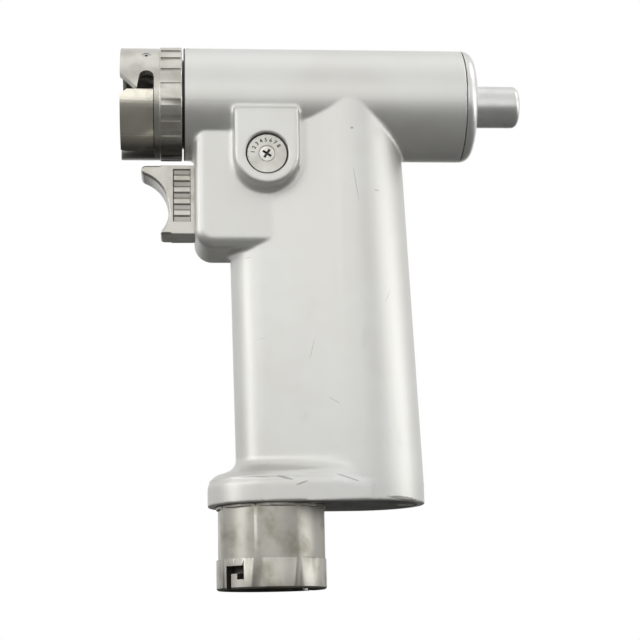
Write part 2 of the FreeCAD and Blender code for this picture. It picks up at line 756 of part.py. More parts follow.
def ring_gear():
    """Internal gear that both stages roll in, held in the barrel."""
    length = float(ring_gear_end - ring_gear_start)
    teeth = int(S.sun_teeth.number + 2 * S.planet_teeth.number)
    rim = Part.makeCylinder(float(S.barrel_bore - S.seat_gap), length, Vector(0, 0, 0),
                            Vector(1, 0, 0))
    hole = Part.Face(gear_outline(teeth, 0.0, ring=True)).extrude(Vector(length, 0, 0))
    return node(solid_of("ring_gear", rim.cut(hole), ring_gear_start), "ring_gear")


def planets(stage, start):
    """Three planets of a stage, each with its own node."""
    teeth = int(S.planet_teeth.number)
    half_step = 180.0 / teeth
    bore = S.planet_pin_radius + S.running_gap
    for index, angle in enumerate(planet_angles(), start=1):
        y, z = round_axis(angle, 1.0)
        shape = gear_blank(teeth, angle + half_step, S.planet_width, bore)
        name = "%s_planet_%d" % (stage, index)
        node(solid_of(name, shape, start, planet_orbit * y, planet_orbit * z), name)


def planet_pins(stage, start, end):
    """Pins pressed in a carrier plate."""
    pins = []
    for index, angle in enumerate(planet_angles()):
        y, z = round_axis(angle, 1.0)
        pins.append(cylinder("%s_pin_%d" % (stage, index), "X", S.planet_pin_radius,
                             end - start, start, planet_orbit * y, planet_orbit * z))
    name = stage + "_planet_pins"
    return node(group(name, *pins), name)


def pin_holes(stage, start):
    """Holes for the pins through a carrier plate."""
    holes = []
    for index, angle in enumerate(planet_angles()):
        y, z = round_axis(angle, 1.0)
        holes.append(cylinder("%s_pin_hole_%d" % (stage, index), "X",
                              S.planet_pin_radius + 0.01, S.carrier_thickness + 0.2,
                              start - 0.1, planet_orbit * y, planet_orbit * z))
    return holes


def first_carrier():
    """Carrier of the first stage with the second sun cut on its hub."""
    plate = turned("first_carrier_plate", "X", [
        (planet2_start + 0.2, shaft_bore),
        (planet2_start + 0.2, sun_core + 0.3),
        (plate1_start, sun_core + 0.3),
        (plate1_start, S.carrier_radius),
        (plate1_end, S.carrier_radius),
        (plate1_end, shaft_bore),
    ])
    sun_start = planet2_start + 0.2
    sun = gear_blank(int(S.sun_teeth.number), 0.0, plate1_start + 0.2 - sun_start, sun_core)
    hub = solid_of("second_sun", sun, sun_start)
    whole = fuse("first_carrier_whole", plate, hub)
    return node(cut("first_carrier", whole, *pin_holes("first", plate1_start)),
                "first_carrier")


def output_spindle():
    """Spindle with its drive head in front and the second carrier behind."""
    shaft = S.spindle_bearing_bore - 0.01
    head_start = socket_end - S.dog_length
    body = turned("spindle_body", "X", [
        (head_start, shaft_bore),
        (head_start, S.dog_radius - 0.6),
        (head_start + 0.6, S.dog_radius),
        (socket_end, S.dog_radius),
        (socket_end, S.spindle_bearing_bore + 2.2),
        (bearing_start - 0.1, S.spindle_bearing_bore + 2.2),
        (bearing_start - 0.1, shaft),
        (bearing_end + 0.1, shaft),
        (bearing_end + 0.1, S.spindle_bearing_bore + 2.2),
        (plate2_start, S.spindle_bearing_bore + 2.2),
        (plate2_start, S.carrier_radius),
        (plate2_end, S.carrier_radius),
        (plate2_end, shaft_bore),
    ])
    slot = box("drive_slot", S.dog_slot_depth + 1, S.dog_radius * 2 + 2, S.dog_slot_width,
               head_start - 1, -S.dog_radius - 1, -S.dog_slot_width / 2)
    return node(cut("output_spindle", body, slot, *pin_holes("second", plate2_start)),
                "output_spindle")


# Air motor

def motor_plate(name, lip_start, seat_start, mirrored):
    """End plate of the motor with a bearing seat and a dowel hole."""
    rim = S.barrel_bore - S.seat_gap
    seat = S.rotor_bearing_rim + S.seat_gap
    end = seat_start + plate_length if not mirrored else lip_start + plate_length
    if mirrored:
        profile = [(lip_start, S.lip_bore), (lip_start, rim), (end, rim), (end, seat),
                   (lip_start + S.plate_lip, seat), (lip_start + S.plate_lip, S.lip_bore)]
    else:
        step = end - S.plate_lip
        profile = [(seat_start, seat), (seat_start, rim), (end, rim), (end, S.lip_bore),
                   (step, S.lip_bore), (step, seat)]
    plate = turned(name + "_disc", "X", profile)
    hole = cylinder(name + "_dowel_hole", "X", S.dowel_radius + 0.02, plate_length + 1,
                    (lip_start if mirrored else seat_start) - 0.5, 0, S.dowel_place)
    return node(cut(name, plate, hole), name)


def motor_cylinder():
    """Liner with its bore set below the rotor's axis, and its air ports."""
    length = cylinder_end - cylinder_start
    rim = cylinder("motor_cylinder_rim", "X", S.barrel_bore - S.seat_gap, length,
                   cylinder_start)
    bore = cylinder("motor_cylinder_bore", "X", S.cylinder_bore, length + 1,
                    cylinder_start - 0.5, 0, -S.cylinder_offset)
    dowel = cylinder("motor_cylinder_dowel_hole", "X", S.dowel_radius + 0.02, length + 1,
                     cylinder_start - 0.5, 0, S.dowel_place)
    inlet = cylinder("motor_inlet_port", "Z", S.port_radius, S.barrel_bore,
                     motor_port_x(), 0, -S.barrel_bore - 1)
    exhaust = cylinder("motor_exhaust_port", "Z", S.exhaust_port * 0.8, S.barrel_bore,
                       S.muffler_x + 3, 0, -S.barrel_bore - 1)
    return node(cut("motor_cylinder", rim, bore, dowel, inlet, exhaust), "motor_cylinder")


def motor_port_x():
    return cylinder_start + 4.5


def rotor():
    """Slotted rotor with its journals and the pinion of the first stage."""
    journal = S.rotor_bearing_bore - 0.01
    pinion_end = motor_start - 0.3
    body = turned("rotor_body", "X", [
        (planet1_start + 0.2, shaft_bore),
        (planet1_start + 0.2, sun_core + 0.3),
        (pinion_end, sun_core + 0.3),
        (pinion_end, journal),
        (rotor_start - 0.9, journal),
        (rotor_start - 0.9, S.rotor_bearing_bore + 0.9),
        (rotor_start, S.rotor_bearing_bore + 0.9),
        (rotor_start, S.rotor_radius),
        (rotor_start + S.rotor_length, S.rotor_radius),
        (rotor_start + S.rotor_length, S.rotor_bearing_bore + 0.9),
        (rotor_start + S.rotor_length + 0.9, S.rotor_bearing_bore + 0.9),
        (rotor_start + S.rotor_length + 0.9, journal),
        (rear_plate_end, journal),
        (rear_plate_end, shaft_bore),
    ])
    pinion_start = planet1_start + 0.2
    sun = gear_blank(int(S.sun_teeth.number), 0.0, pinion_end + 0.2 - pinion_start, sun_core)
    pinion = solid_of("pinion_teeth", sun, pinion_start)
    slots = [vane_block("vane_slot_%d" % index, index, S.vane_thickness.number + 0.1,
                        S.vane_height.number + 0.3, 1.0)
             for index in range(int(S.vane_count.number))]
    return node(cut("rotor", fuse("rotor_whole", body, pinion), *slots), "rotor")


def vane_block(name, index, thickness, height, overrun):
    """Flat block along a vane's place in the rotor."""
    top = S.rotor_radius.number + (overrun if overrun else 0.15)
    start = rotor_start.number + (-overrun if overrun else 0.1)
    length = S.rotor_length.number + (2 * overrun if overrun else -0.2)
    low = S.rotor_radius.number + 0.15 - height
    block = Part.makeBox(length, thickness, top - low, Vector(start, -thickness / 2, low))
    block.rotate(Vector(0, 0, 0), Vector(1, 0, 0), 360.0 * index / S.vane_count.number + 36)
    return solid_of(name, block)


def rotor_vanes():
    vanes = [vane_block("vane_%d" % index, index, S.vane_thickness.number,
                        S.vane_height.number, 0.0)
             for index in range(int(S.vane_count.number))]
    return node(group("rotor_vanes", *vanes), "rotor_vanes")


def motor_dowel():
    start = motor_start + 1
    return node(cylinder("motor_dowel", "X", S.dowel_radius, rear_plate_end - start - 1,
                         start, 0, S.dowel_place), "motor_dowel")


# Rear end

def rear_cap():
    """Cap with a threaded skirt that clamps the drive train."""
    rim = S.barrel_bore - S.seat_gap
    groove = barrel_end - 4.5
    body = turned("rear_cap_body", "X", [
        (skirt_start, rim - S.cap_skirt),
        (skirt_start, rim),
        (groove, rim),
        (groove, rim - S.seal_wire * 1.05),
        (groove + S.seal_wire * 1.25, rim - S.seal_wire * 1.05),
        (groove + S.seal_wire * 1.25, rim),
        (cap_start, rim),
        (cap_start, S.barrel_radius),
        (cap_end, S.barrel_radius),
        (cap_end, S.stub_thread + S.seat_gap),
        (cap_end - S.stub_thread_length - 1, S.stub_thread + S.seat_gap),
        (cap_end - S.stub_thread_length - 1, rim - S.cap_skirt),
    ])
    edge = cap_end.number

    def outer_edge(candidate):
        box_of = candidate.BoundBox
        return box_of.XMin > edge - 0.01 and box_of.YMax > S.barrel_radius.number - 0.1

    rim_rounded = rounded("rear_cap_rounded", body, S.cap_edge, outer_edge)
    return node(rim_rounded, "rear_cap")


def rear_cap_seal():
    ring = doc.addObject("Part::Torus", "rear_cap_seal")
    wire = S.seal_wire / 2 - 0.02
    bind(ring, Radius1=S.barrel_bore - S.seal_wire / 2 - 0.02, Radius2=wire)
    put(ring, barrel_end - 4.5 + S.seal_wire * 0.625, 0, 0, AXIS_TURNS["X"])
    return node(ring, "rear_cap_seal")


def guide_tube_holder():
    """Stub screwed into the rear cap; it holds the guide tube."""
    shank = S.stub_thread
    body = turned("holder_body", "X", [
        (cap_end - S.stub_thread_length, S.tube_radius + 0.01),
        (cap_end - S.stub_thread_length, shank),
        (cap_end, shank),
        (cap_end, S.stub_radius),
        (stub_end, S.stub_radius),
        (stub_end, S.tube_radius + 0.01),
    ])

    def end_edge(candidate):
        box_of = candidate.BoundBox
        return box_of.XMin > stub_end.number - 0.01 and box_of.YMax > S.stub_radius.number - 0.1

    return node(rounded("guide_tube_holder", body, S.stub_edge, end_edge), "guide_tube_holder")


def guide_tube():
    return node(bush("guide_tube", "X", S.tube_radius, S.guide_bore, S.tube_front,
                     stub_end - 0.4), "guide_tube")


# Housing

def egg_sketch(body, name, height, front, front_radius, rear, rear_radius):
    """Section of the grip: two rounds joined by their tangents."""
    sketch = new_sketch(body, name, "XY_Plane", -height)
    a, ra = float(front), float(front_radius)
    b, rb = float(rear), float(rear_radius)
    lean = math.acos((ra - rb) / (b - a))
    nose = Part.ArcOfCircle(Part.Circle(Vector(a, 0, 0), Vector(0, 0, 1), ra),
                            lean, 2 * math.pi - lean)
    tail = Part.ArcOfCircle(Part.Circle(Vector(b, 0, 0), Vector(0, 0, 1), rb), -lean, lean)
    up = Vector(math.cos(lean), math.sin(lean), 0)
    down = Vector(math.cos(lean), -math.sin(lean), 0)
    lower = Part.LineSegment(Vector(a, 0, 0) + down * ra, Vector(b, 0, 0) + down * rb)
    upper = Part.LineSegment(Vector(b, 0, 0) + up * rb, Vector(a, 0, 0) + up * ra)
    for piece in (nose, lower, tail, upper):
        sketch.addGeometry(piece, False)
    for first, second in ((0, 1), (1, 2), (2, 3), (3, 0)):
        sketch.addConstraint(Sketcher.Constraint("Tangent", first, 2, second, 1))
    for arc, centre, radius in ((0, front, front_radius), (2, rear, rear_radius)):
        tie_point(sketch, arc, 3, centre, 0)
        row = sketch.addConstraint(Sketcher.Constraint("Radius", arc, float(radius)))
        sketch.setExpression("Constraints[%d]" % row, Size.of(radius).rule)
    return sketch


def grip_rear(height):
    """Centre and radius of the rear round at a height below the axis."""
    share = height / S.base_height
    centre = S.grip_rear_top + (S.grip_rear_base - S.grip_rear_top) * share
    radius = S.grip_rear_top_radius + (S.grip_rear_base_radius - S.grip_rear_top_radius) * share
    return centre, radius


def grip_front(height):
    share = height / S.base_height
    return S.grip_front_top + (S.grip_front_base - S.grip_front_top) * share


FLARE_STAGES = [(0.0, 0.0), (0.45, 0.16), (0.75, 0.45), (1.0, 1.0)]


def grip_sections(body):
    """Sections of the grip from the axis down to the toe's straight edge."""
    flare_top = S.base_height - S.toe_thickness - S.toe_flare
    rear, rear_radius = grip_rear(Size.of(0) + 0)
    sections = [egg_sketch(body, "grip_top", 0, S.grip_front_top, S.grip_front_radius,
                           rear, rear_radius)]
    for index, (drop, spread) in enumerate(FLARE_STAGES):
        height = flare_top + S.toe_flare * drop
        rear, rear_radius = grip_rear(height)
        front = grip_front(height) + (S.inlet_x - grip_front(height)) * spread
        radius = S.grip_front_radius + (S.toe_radius - S.grip_front_radius) * spread
        sections.append(egg_sketch(body, "grip_section_%d" % index, height, front, radius,
                                   rear, rear_radius))
    return sections


def grip_column():
    """Grip, tapered both ways and flared out over the hose coupling."""
    body = doc.addObject("PartDesign::Body", "grip_column")
    sections = grip_sections(body)
    loft = body.newObject("PartDesign::AdditiveLoft", "grip_loft")
    loft.Profile = sections[0]
    loft.Sections = sections[1:]
    loft.Ruled = True
    toe_top = S.base_height - S.toe_thickness
    rear, rear_radius = grip_rear(toe_top)
    edge = egg_sketch(body, "toe_edge", toe_top, S.inlet_x, S.toe_radius, rear, rear_radius)
    pad = body.newObject("PartDesign::Pad", "toe_pad")
    pad.Profile = edge
    pad.Reversed = True
    bind(pad, Length=S.toe_thickness)
    return body


def trigger_guard():
    """Block below the barrel that houses the trigger and its valve."""
    block = box("guard_block", S.guard_length, S.guard_half_width * 2, S.guard_bottom - 8,
                S.guard_front, -S.guard_half_width, -S.guard_bottom)
    front = S.guard_front.number
    low = -S.guard_bottom.number

    def chin(edge):
        box_of = edge.BoundBox
        return box_of.XMax < front + 0.01 and box_of.ZMax < low + 0.01

    def side(edge):
        box_of = edge.BoundBox
        at_front = box_of.XMin < front + 0.01 or box_of.ZMin < low + 0.01
        return at_front and box_of.YLength < 0.01 and box_of.ZMin < low + S.guard_chin.number + 0.01

    lower = rounded("guard_lower", block, S.guard_chin, chin)
    return rounded("guard_rounded", lower, S.guard_corner, side)


def dial_boss():
    """Raised pad on the dial side with a rounded lower end."""
    body = doc.addObject("PartDesign::Body", "dial_boss_pad")
    sketch = new_sketch(body, "dial_boss_outline", "XZ_Plane", 0)
    radius = float(S.boss_radius)
    rise_to = float(S.boss_z - S.boss_top)
    arc = Part.ArcOfCircle(Part.Circle(Vector(0, 0, 0), Vector(0, 0, 1), radius),
                           math.pi, 2 * math.pi)
    sketch.addGeometry(arc, False)
    path = [Vector(radius, 0, 0), Vector(radius, rise_to, 0), Vector(-radius, rise_to, 0),
            Vector(-radius, 0, 0)]
    for index in range(3):
        sketch.addGeometry(Part.LineSegment(path[index], path[index + 1]), False)
    for first, second in ((0, 1), (1, 2), (2, 3), (3, 0)):
        sketch.addConstraint(Sketcher.Constraint("Coincident", first, 2, second, 1))
    sketch.addConstraint(Sketcher.Constraint("Coincident", 0, 3, -1, 1))
    tie_point(sketch, 1, 1, S.boss_radius, 0)
    tie_point(sketch, 2, 1, S.boss_radius, S.boss_z - S.boss_top)
    tie_point(sketch, 3, 1, -S.boss_radius, S.boss_z - S.boss_top)
    sketch.addConstraint(Sketcher.Constraint("PointOnObject", 3, 2, -1))
    pad = body.newObject("PartDesign::Pad", "dial_boss_block")
    pad.Profile = sketch
    bind(pad, Length=S.boss_face)
    doc.recompute()
    if body.Shape.BoundBox.YMax > 1:
        pad.Reversed = True
    put(body, S.boss_x, 0, -S.boss_z)
    face_y = -S.boss_face.number

    def front_edge(edge):
        box_of = edge.BoundBox
        return box_of.YMax < face_y + 0.01

    return rounded("dial_boss_rounded", body, S.boss_edge, front_edge)


def plate_outline(body, name, height, margin):
    """Outline of the end plate, inside the rim of the toe."""
    rear, rear_radius = grip_rear(S.base_height)
    return egg_sketch(body, name, height, S.inlet_x, S.toe_radius - margin, rear,
                      rear_radius - margin)


def plate_prism(name, margin, bottom, thickness):
    body = doc.addObject("PartDesign::Body", name)
    sketch = plate_outline(body, name + "_outline", bottom, margin)
    pad = body.newObject("PartDesign::Pad", name + "_pad")
    pad.Profile = sketch
    bind(pad, Length=thickness)
    return body


def body_housing():
    """One casting: barrel, grip, trigger housing and dial boss, then its bores."""
    barrel = cylinder("barrel", "X", S.barrel_radius, S.barrel_length, barrel_front)
    outside = fuse("housing_outside", barrel, grip_column(), trigger_guard(),
                   dial_boss())
    outside.Refine = True
    gallery_z = -S.boss_z + 1.2
    port_x = motor_port_x()
    tools = [
        cylinder("barrel_bore_cut", "X", S.barrel_bore, S.barrel_length + 2, barrel_front - 1),
        box("trigger_pocket", trigger_pocket_end - S.guard_front + 1,
            (S.trigger_half_width + S.trigger_slack) * 2,
            S.trigger_bottom - S.trigger_top + S.trigger_slack * 2,
            S.guard_front - 1, -S.trigger_half_width - S.trigger_slack,
            -S.trigger_bottom - S.trigger_slack),
        cylinder("valve_bore", "X", S.valve_radius, S.valve_length + 1,
                 trigger_pocket_end - 0.5, 0, -S.valve_z),
        cylinder("dial_recess_cut", "Y", S.dial_radius + 0.2, S.dial_recess + 5,
                 S.boss_x, -S.boss_face - 5, -S.boss_z),
        cylinder("spool_bore", "Y", S.spool_radius + S.running_gap, S.spool_length + 2,
                 S.boss_x, -S.boss_face + S.dial_recess - 1, -S.boss_z),
        cylinder("inlet_bore", "Z", S.inlet_tube_radius + S.seat_gap,
                 S.base_height - S.valve_z, S.inlet_x, 0, -S.base_height),
        cylinder("valve_outlet", "Z", S.port_radius * 0.7, S.valve_z - S.boss_z,
                 S.boss_x - 3.9, 0, -S.valve_z),
        cylinder("air_gallery", "X", S.port_radius, port_x - S.boss_x, S.boss_x, 0, gallery_z),
        cylinder("motor_port", "Z", S.port_radius + 0.3, S.boss_z - S.barrel_bore + 4,
                 port_x, 0, gallery_z - S.port_radius - 0.4),
        cylinder("muffler_chamber", "Z", S.muffler_radius, S.base_height - S.muffler_top,
                 S.muffler_x, 0, -S.base_height),
        cylinder("exhaust_passage", "Z", S.exhaust_port, S.muffler_top - S.barrel_bore + 4,
                 S.muffler_x + 3, 0, -S.muffler_top - 1),
        cylinder("spigot_bore_cut", "Z", S.spigot_radius + S.seat_gap, S.spigot_length + 0.4,
                 S.inlet_x, 0, -S.base_height),
        cylinder("exhaust_well", "Z", S.spigot_bore - 0.6, 14, S.inlet_x, 0, -S.base_height),
        box("exhaust_channel", S.muffler_x - S.inlet_x, 12, 8,
            S.inlet_x, -6, -S.base_height + S.spigot_length + 0.4),
        plate_prism("plate_recess", S.plate_margin - S.seat_gap, S.base_height + 1,
                    S.plate_thickness + 1),
    ]
    for index, (x, y) in enumerate(plate_screw_places()):
        tools.append(cylinder("plate_screw_hole_%d" % index, "Z",
                              S.plate_screw_radius + 0.02, S.plate_screw_length + 1,
                              x, y, -S.base_height))
    return node(cut("body_housing", outside, *tools), "body_housing")


def plate_screw_places():
    """Screws at the heel of the end plate and on both sides of its waist."""
    heel = S.grip_rear_base + S.grip_rear_base_radius - S.plate_margin - S.plate_screw_head - 0.6
    waist = (S.inlet_x + S.spigot_radius + S.muffler_x - S.muffler_radius) * 0.5
    side = S.toe_radius - S.plate_margin - S.plate_screw_head - 1.0
    return [(heel, Size.of(0) + 0), (waist - 1.0, side), (waist - 1.0, -side)]


# Grip end and hose coupling

def grip_end_plate():
    plate = plate_prism("end_plate_blank", S.plate_margin, S.base_height, S.plate_thickness)
    tools = [cylinder("end_plate_hole", "Z", S.spigot_radius + S.seat_gap, 8, S.inlet_x, 0,
                      -S.base_height - 2)]
    for index, (x, y) in enumerate(plate_screw_places()):
        tools.append(cylinder("end_plate_screw_hole_%d" % index, "Z",
                              S.plate_screw_radius + 0.02, 8, x, y, -S.base_height - 2))
        cone = doc.addObject("Part::Cone", "end_plate_sink_%d" % index)
        bind(cone, Radius1=S.plate_screw_head + 0.1, Radius2=S.plate_screw_radius,
             Height=S.plate_screw_head - S.plate_screw_radius + 0.1)
        tools.append(put(cone, x, y, -S.base_height))
    return node(cut("grip_end_plate", plate, *tools), "grip_end_plate")


def end_plate_screws():
    """Countersunk screws with a cross recess, in one group."""
    screws = []
    for index, (x, y) in enumerate(plate_screw_places()):
        depth = S.plate_screw_head - S.plate_screw_radius
        body = turned("end_plate_screw_%d" % index, "Z", [
            (-S.base_height + 0.05, 0),
            (-S.base_height + 0.05, S.plate_screw_head),
            (-S.base_height + depth + 0.05, S.plate_screw_radius),
            (-S.base_height + S.plate_screw_length, S.plate_screw_radius),
            (-S.base_height + S.plate_screw_length, 0),
        ], x, y)
        bars = [box("end_plate_cross_%d_%d" % (index, way), length, width, 1.1,
                    x - length / 2, y - width / 2, -S.base_height - 0.2)
                for way, (length, width) in enumerate(((Size.of(3.0), Size.of(0.7)),
                                                       (Size.of(0.7), Size.of(3.0))))]
        screws.append(cut("end_plate_screw_cut_%d" % index, body, *bars))
    return node(group("end_plate_screws", *screws), "end_plate_screws")


def hose_coupling():
    """Coupling: shank, eight flats, round ring with two bayonet slots."""
    top = -S.base_height
    rim = -coupling_bottom
    socket_top = rim + S.coupling_bore_depth
    body = turned("coupling_body", "Z", [
        (rim, S.coupling_bore + 0.4),
        (rim, S.coupling_radius - 0.5),
        (rim + 0.5, S.coupling_radius),
        (top, S.coupling_radius),
        (top, S.spigot_radius),
        (top + S.spigot_length, S.spigot_radius),
        (top + S.spigot_length, S.spigot_bore),
        (socket_top + S.coupling_web, S.spigot_bore),
        (socket_top + S.coupling_web, S.inlet_tube_radius + S.seat_gap),
        (socket_top, S.inlet_tube_radius + S.seat_gap),
        (socket_top, S.coupling_throat),
        (rim + S.coupling_mouth_depth, S.coupling_throat),
        (rim + S.coupling_mouth_depth, S.coupling_bore),
        (rim + 0.4, S.coupling_bore),
    ], S.inlet_x)
    tools = []
    reach = S.coupling_radius * 2
    for index in range(8):
        angle = 45.0 * index + 4.0
        block = doc.addObject("Part::Box", "coupling_flat_%d" % index)
        bind(block, Length=S.coupling_radius, Width=reach,
             Height=S.coupling_flat_height - 1.0)
        turn = math.radians(angle)
        half = S.coupling_flats / 2
        block.Placement = FreeCAD.Placement(Vector(0, 0, 0),
                                            FreeCAD.Rotation(Vector(0, 0, 1), angle))
        put(block, S.inlet_x + half * math.cos(turn) + S.coupling_radius * math.sin(turn),
            half * math.sin(turn) - S.coupling_radius * math.cos(turn),
            top - S.coupling_flat_height)
        tools.append(block)
    for index in range(6):
        turn = math.radians(60.0 * index + 30)
        orbit = (S.spigot_bore + S.inlet_tube_radius) * 0.5
        tools.append(cylinder("coupling_port_%d" % index, "Z", 1.7, S.coupling_web + 2,
                              S.inlet_x + orbit * math.cos(turn), orbit * math.sin(turn),
                              socket_top - 1))
    for index in range(2):
        tools.append(bayonet_slot("bayonet_slot_%d" % index, 180.0 * index))
    return node(cut("hose_coupling", body, *tools), "hose_coupling")


def bayonet_slot(name, turn):
    """Hooked slot in the coupling's ring for a pin of the hose end."""
    width = float(S.bayonet_width)
    high = float(S.bayonet_rise)
    radius = float(S.coupling_radius)
    run = radius * math.radians(float(S.bayonet_turn))
    notch = high - width * 1.75
    points = [(-width / 2, -1), (width / 2, -1), (width / 2, high - width),
              (run - width / 2, high - width), (run - width / 2, notch),
              (run + width / 2, notch), (run + width / 2, high), (-width / 2, high)]
    corners = [Vector(across, 0, up) for across, up in points]
    face = Part.Face(Part.makePolygon(corners + corners[:1]))
    prism = face.extrude(Vector(0, -8, 0))
    prism.translate(Vector(0, -(radius - 5.5), 0))
    prism.rotate(Vector(0, 0, 0), Vector(0, 0, 1), turn - float(S.bayonet_angle))
    return solid_of(name, prism, S.inlet_x, 0, -coupling_bottom)


def inlet_tube():
    """Air tube from the hose to the valve; its turned-down end is the nozzle."""
    bottom = -coupling_bottom + S.nozzle_depth
    return node(turned("inlet_tube", "Z", [
        (bottom, S.inlet_tube_bore),
        (bottom, S.nozzle_radius),
        (bottom + S.nozzle_length, S.nozzle_radius),
        (bottom + S.nozzle_length, S.inlet_tube_radius),
        (-S.inlet_tube_top, S.inlet_tube_radius),
        (-S.inlet_tube_top, S.inlet_tube_bore),
    ], S.inlet_x), "inlet_tube")


def inlet_seal():
    """Seal ring round the nozzle, above the hose socket's mouth."""
    ring = doc.addObject("Part::Torus", "inlet_seal")
    bind(ring, Radius1=S.inlet_tube_radius + 0.82, Radius2=0.8)
    put(ring, S.inlet_x, 0, -coupling_bottom + S.coupling_bore_depth - 1.0)
    return node(ring, "inlet_seal")


def inlet_filter():
    bottom = -coupling_bottom + S.nozzle_depth + 1
    cup = turned("inlet_filter", "Z", [
        (bottom, S.inlet_tube_bore - 1.2),
        (bottom, S.inlet_tube_bore - 0.02),
        (bottom + 9, S.inlet_tube_bore - 0.02),
        (bottom + 9, 0),
        (bottom + 8, 0),
        (bottom + 8, S.inlet_tube_bore - 1.2),
    ], S.inlet_x)
    return node(cup, "inlet_filter")


def exhaust_muffler():
    top = -S.muffler_top - 2
    bottom = -S.base_height + 14
    return node(bush("exhaust_muffler", "Z", S.muffler_radius - 0.15, S.muffler_bore,
                     bottom, top, S.muffler_x), "exhaust_muffler")


# Trigger and valve

def trigger():
    """Trigger with a finger hollow, ribbed sides and a guided tail."""
    body = doc.addObject("PartDesign::Body", "trigger_body")
    sketch = new_sketch(body, "trigger_outline", "XZ_Plane")
    tip = S.trigger_tip.number
    saddle = S.trigger_saddle.number
    heel = S.trigger_heel.number
    top = -S.trigger_top.number
    bottom = -S.trigger_bottom.number
    tail = S.trigger_tail.number
    crown = Part.Arc(Vector(tip + 1.1, top, 0), Vector(tip, top - 1.2, 0),
                     Vector(tip + 0.9, top - 3.0, 0))
    brow = Part.Arc(Vector(tip + 0.9, top - 3.0, 0),
                    Vector(tip + 6.6, top - 7.2, 0),
                    Vector(saddle, top - 14.2, 0))
    lap = Part.Arc(Vector(saddle, top - 14.2, 0), Vector(saddle - 0.15, top - 18.4, 0),
                   Vector(heel, bottom + 1.0, 0))
    chin = Part.Arc(Vector(heel, bottom + 1.0, 0), Vector(heel - 0.05, bottom + 0.35, 0),
                    Vector(heel + 0.8, bottom, 0))
    path = [crown, brow, lap, chin,
            Part.LineSegment(Vector(heel + 0.8, bottom, 0), Vector(tail, bottom, 0)),
            Part.LineSegment(Vector(tail, bottom, 0), Vector(tail, top, 0)),
            Part.LineSegment(Vector(tail, top, 0), Vector(tip + 1.1, top, 0))]
    for piece in path:
        sketch.addGeometry(piece, False)
    pad = body.newObject("PartDesign::Pad", "trigger_pad")
    pad.Profile = sketch
    pad.Midplane = True
    bind(pad, Length=S.trigger_half_width * 2)
    grooves = []
    panel_top = -S.trigger_top - S.rib_panel_drop
    panel_height = S.rib_pitch * (S.rib_count - 1) + S.rib_groove
    for side in (1, -1):
        outer = -S.trigger_half_width - 1
        grooves.append(box("rib_panel_%d" % (side + 1), S.rib_length, S.rib_panel_sink + 1,
                           panel_height, S.rib_start,
                           S.trigger_half_width - S.rib_panel_sink if side > 0 else outer,
                           panel_top - panel_height))
        for index in range(int(S.rib_count.number)):
            grooves.append(box("rib_groove_%d_%d" % (index, side + 1), S.rib_length,
                               S.rib_depth + 1, S.rib_groove, S.rib_start,
                               S.trigger_half_width - S.rib_depth if side > 0 else outer,
                               panel_top - S.rib_groove - S.rib_pitch * index))
    well = cylinder("spring_well_cut", "X", S.spring_well,
                    S.trigger_tail - S.spring_well_start + 1, S.spring_well_start, 0,
                    -S.valve_z)
    stem = cylinder("stem_hole", "X", S.stem_radius + 0.01, S.trigger_tail - S.stem_start + 1,
                    S.stem_start - 0.1, 0, -S.valve_z)
    pin = cylinder("stem_pin_hole", "Y", S.stem_pin_radius + 0.01,
                   S.trigger_half_width * 2, S.stem_start + 1.1,
                   -S.trigger_half_width + S.pin_cover, -S.valve_z)
    return node(cut("trigger", body, well, stem, pin, *grooves), "trigger")


def trigger_stem():
    stem = turned("stem_body", "X", [
        (S.stem_start, 0),
        (S.stem_start, S.stem_radius),
        (S.poppet_place, S.stem_radius),
        (S.poppet_place, S.poppet_radius),
        (S.poppet_place + S.poppet_length, S.poppet_radius),
        (S.poppet_place + S.poppet_length, 0),
    ], 0, 0, -S.valve_z)
    pin = cylinder("stem_cross_hole", "Y", S.stem_pin_radius + 0.01, S.stem_radius * 2 + 2,
                   S.stem_start + 1.1, -S.stem_radius - 1, -S.valve_z)
    return node(cut("trigger_stem", stem, pin), "trigger_stem")


def trigger_pin():
    return node(cylinder("trigger_pin", "Y", S.stem_pin_radius,
                         S.trigger_half_width * 2 - S.pin_cover - 1.0, S.stem_start + 1.1,
                         -S.trigger_half_width + S.pin_cover, -S.valve_z), "trigger_pin")


def trigger_spring():
    """Round wire wound between the trigger and the valve sleeve."""
    wire = S.trigger_spring_wire.number / 2
    radius = S.trigger_spring_radius.number
    start = S.spring_well_start.number + wire + 0.02
    end = trigger_pocket_end.number + 0.2 - wire - 0.02
    turns = S.trigger_spring_turns.number
    helix = Part.makeHelix((end - start) / turns, end - start, radius)
    section = Part.Wire(Part.makeCircle(wire, Vector(radius, 0, 0), Vector(0, 1, 0)))
    coil = Part.Wire(helix).makePipeShell([section], True, True)
    coil.rotate(Vector(0, 0, 0), Vector(0, 1, 0), 90)
    coil.translate(Vector(start, 0, 0))
    return node(solid_of("trigger_spring", coil, 0, 0, -S.valve_z), "trigger_spring")


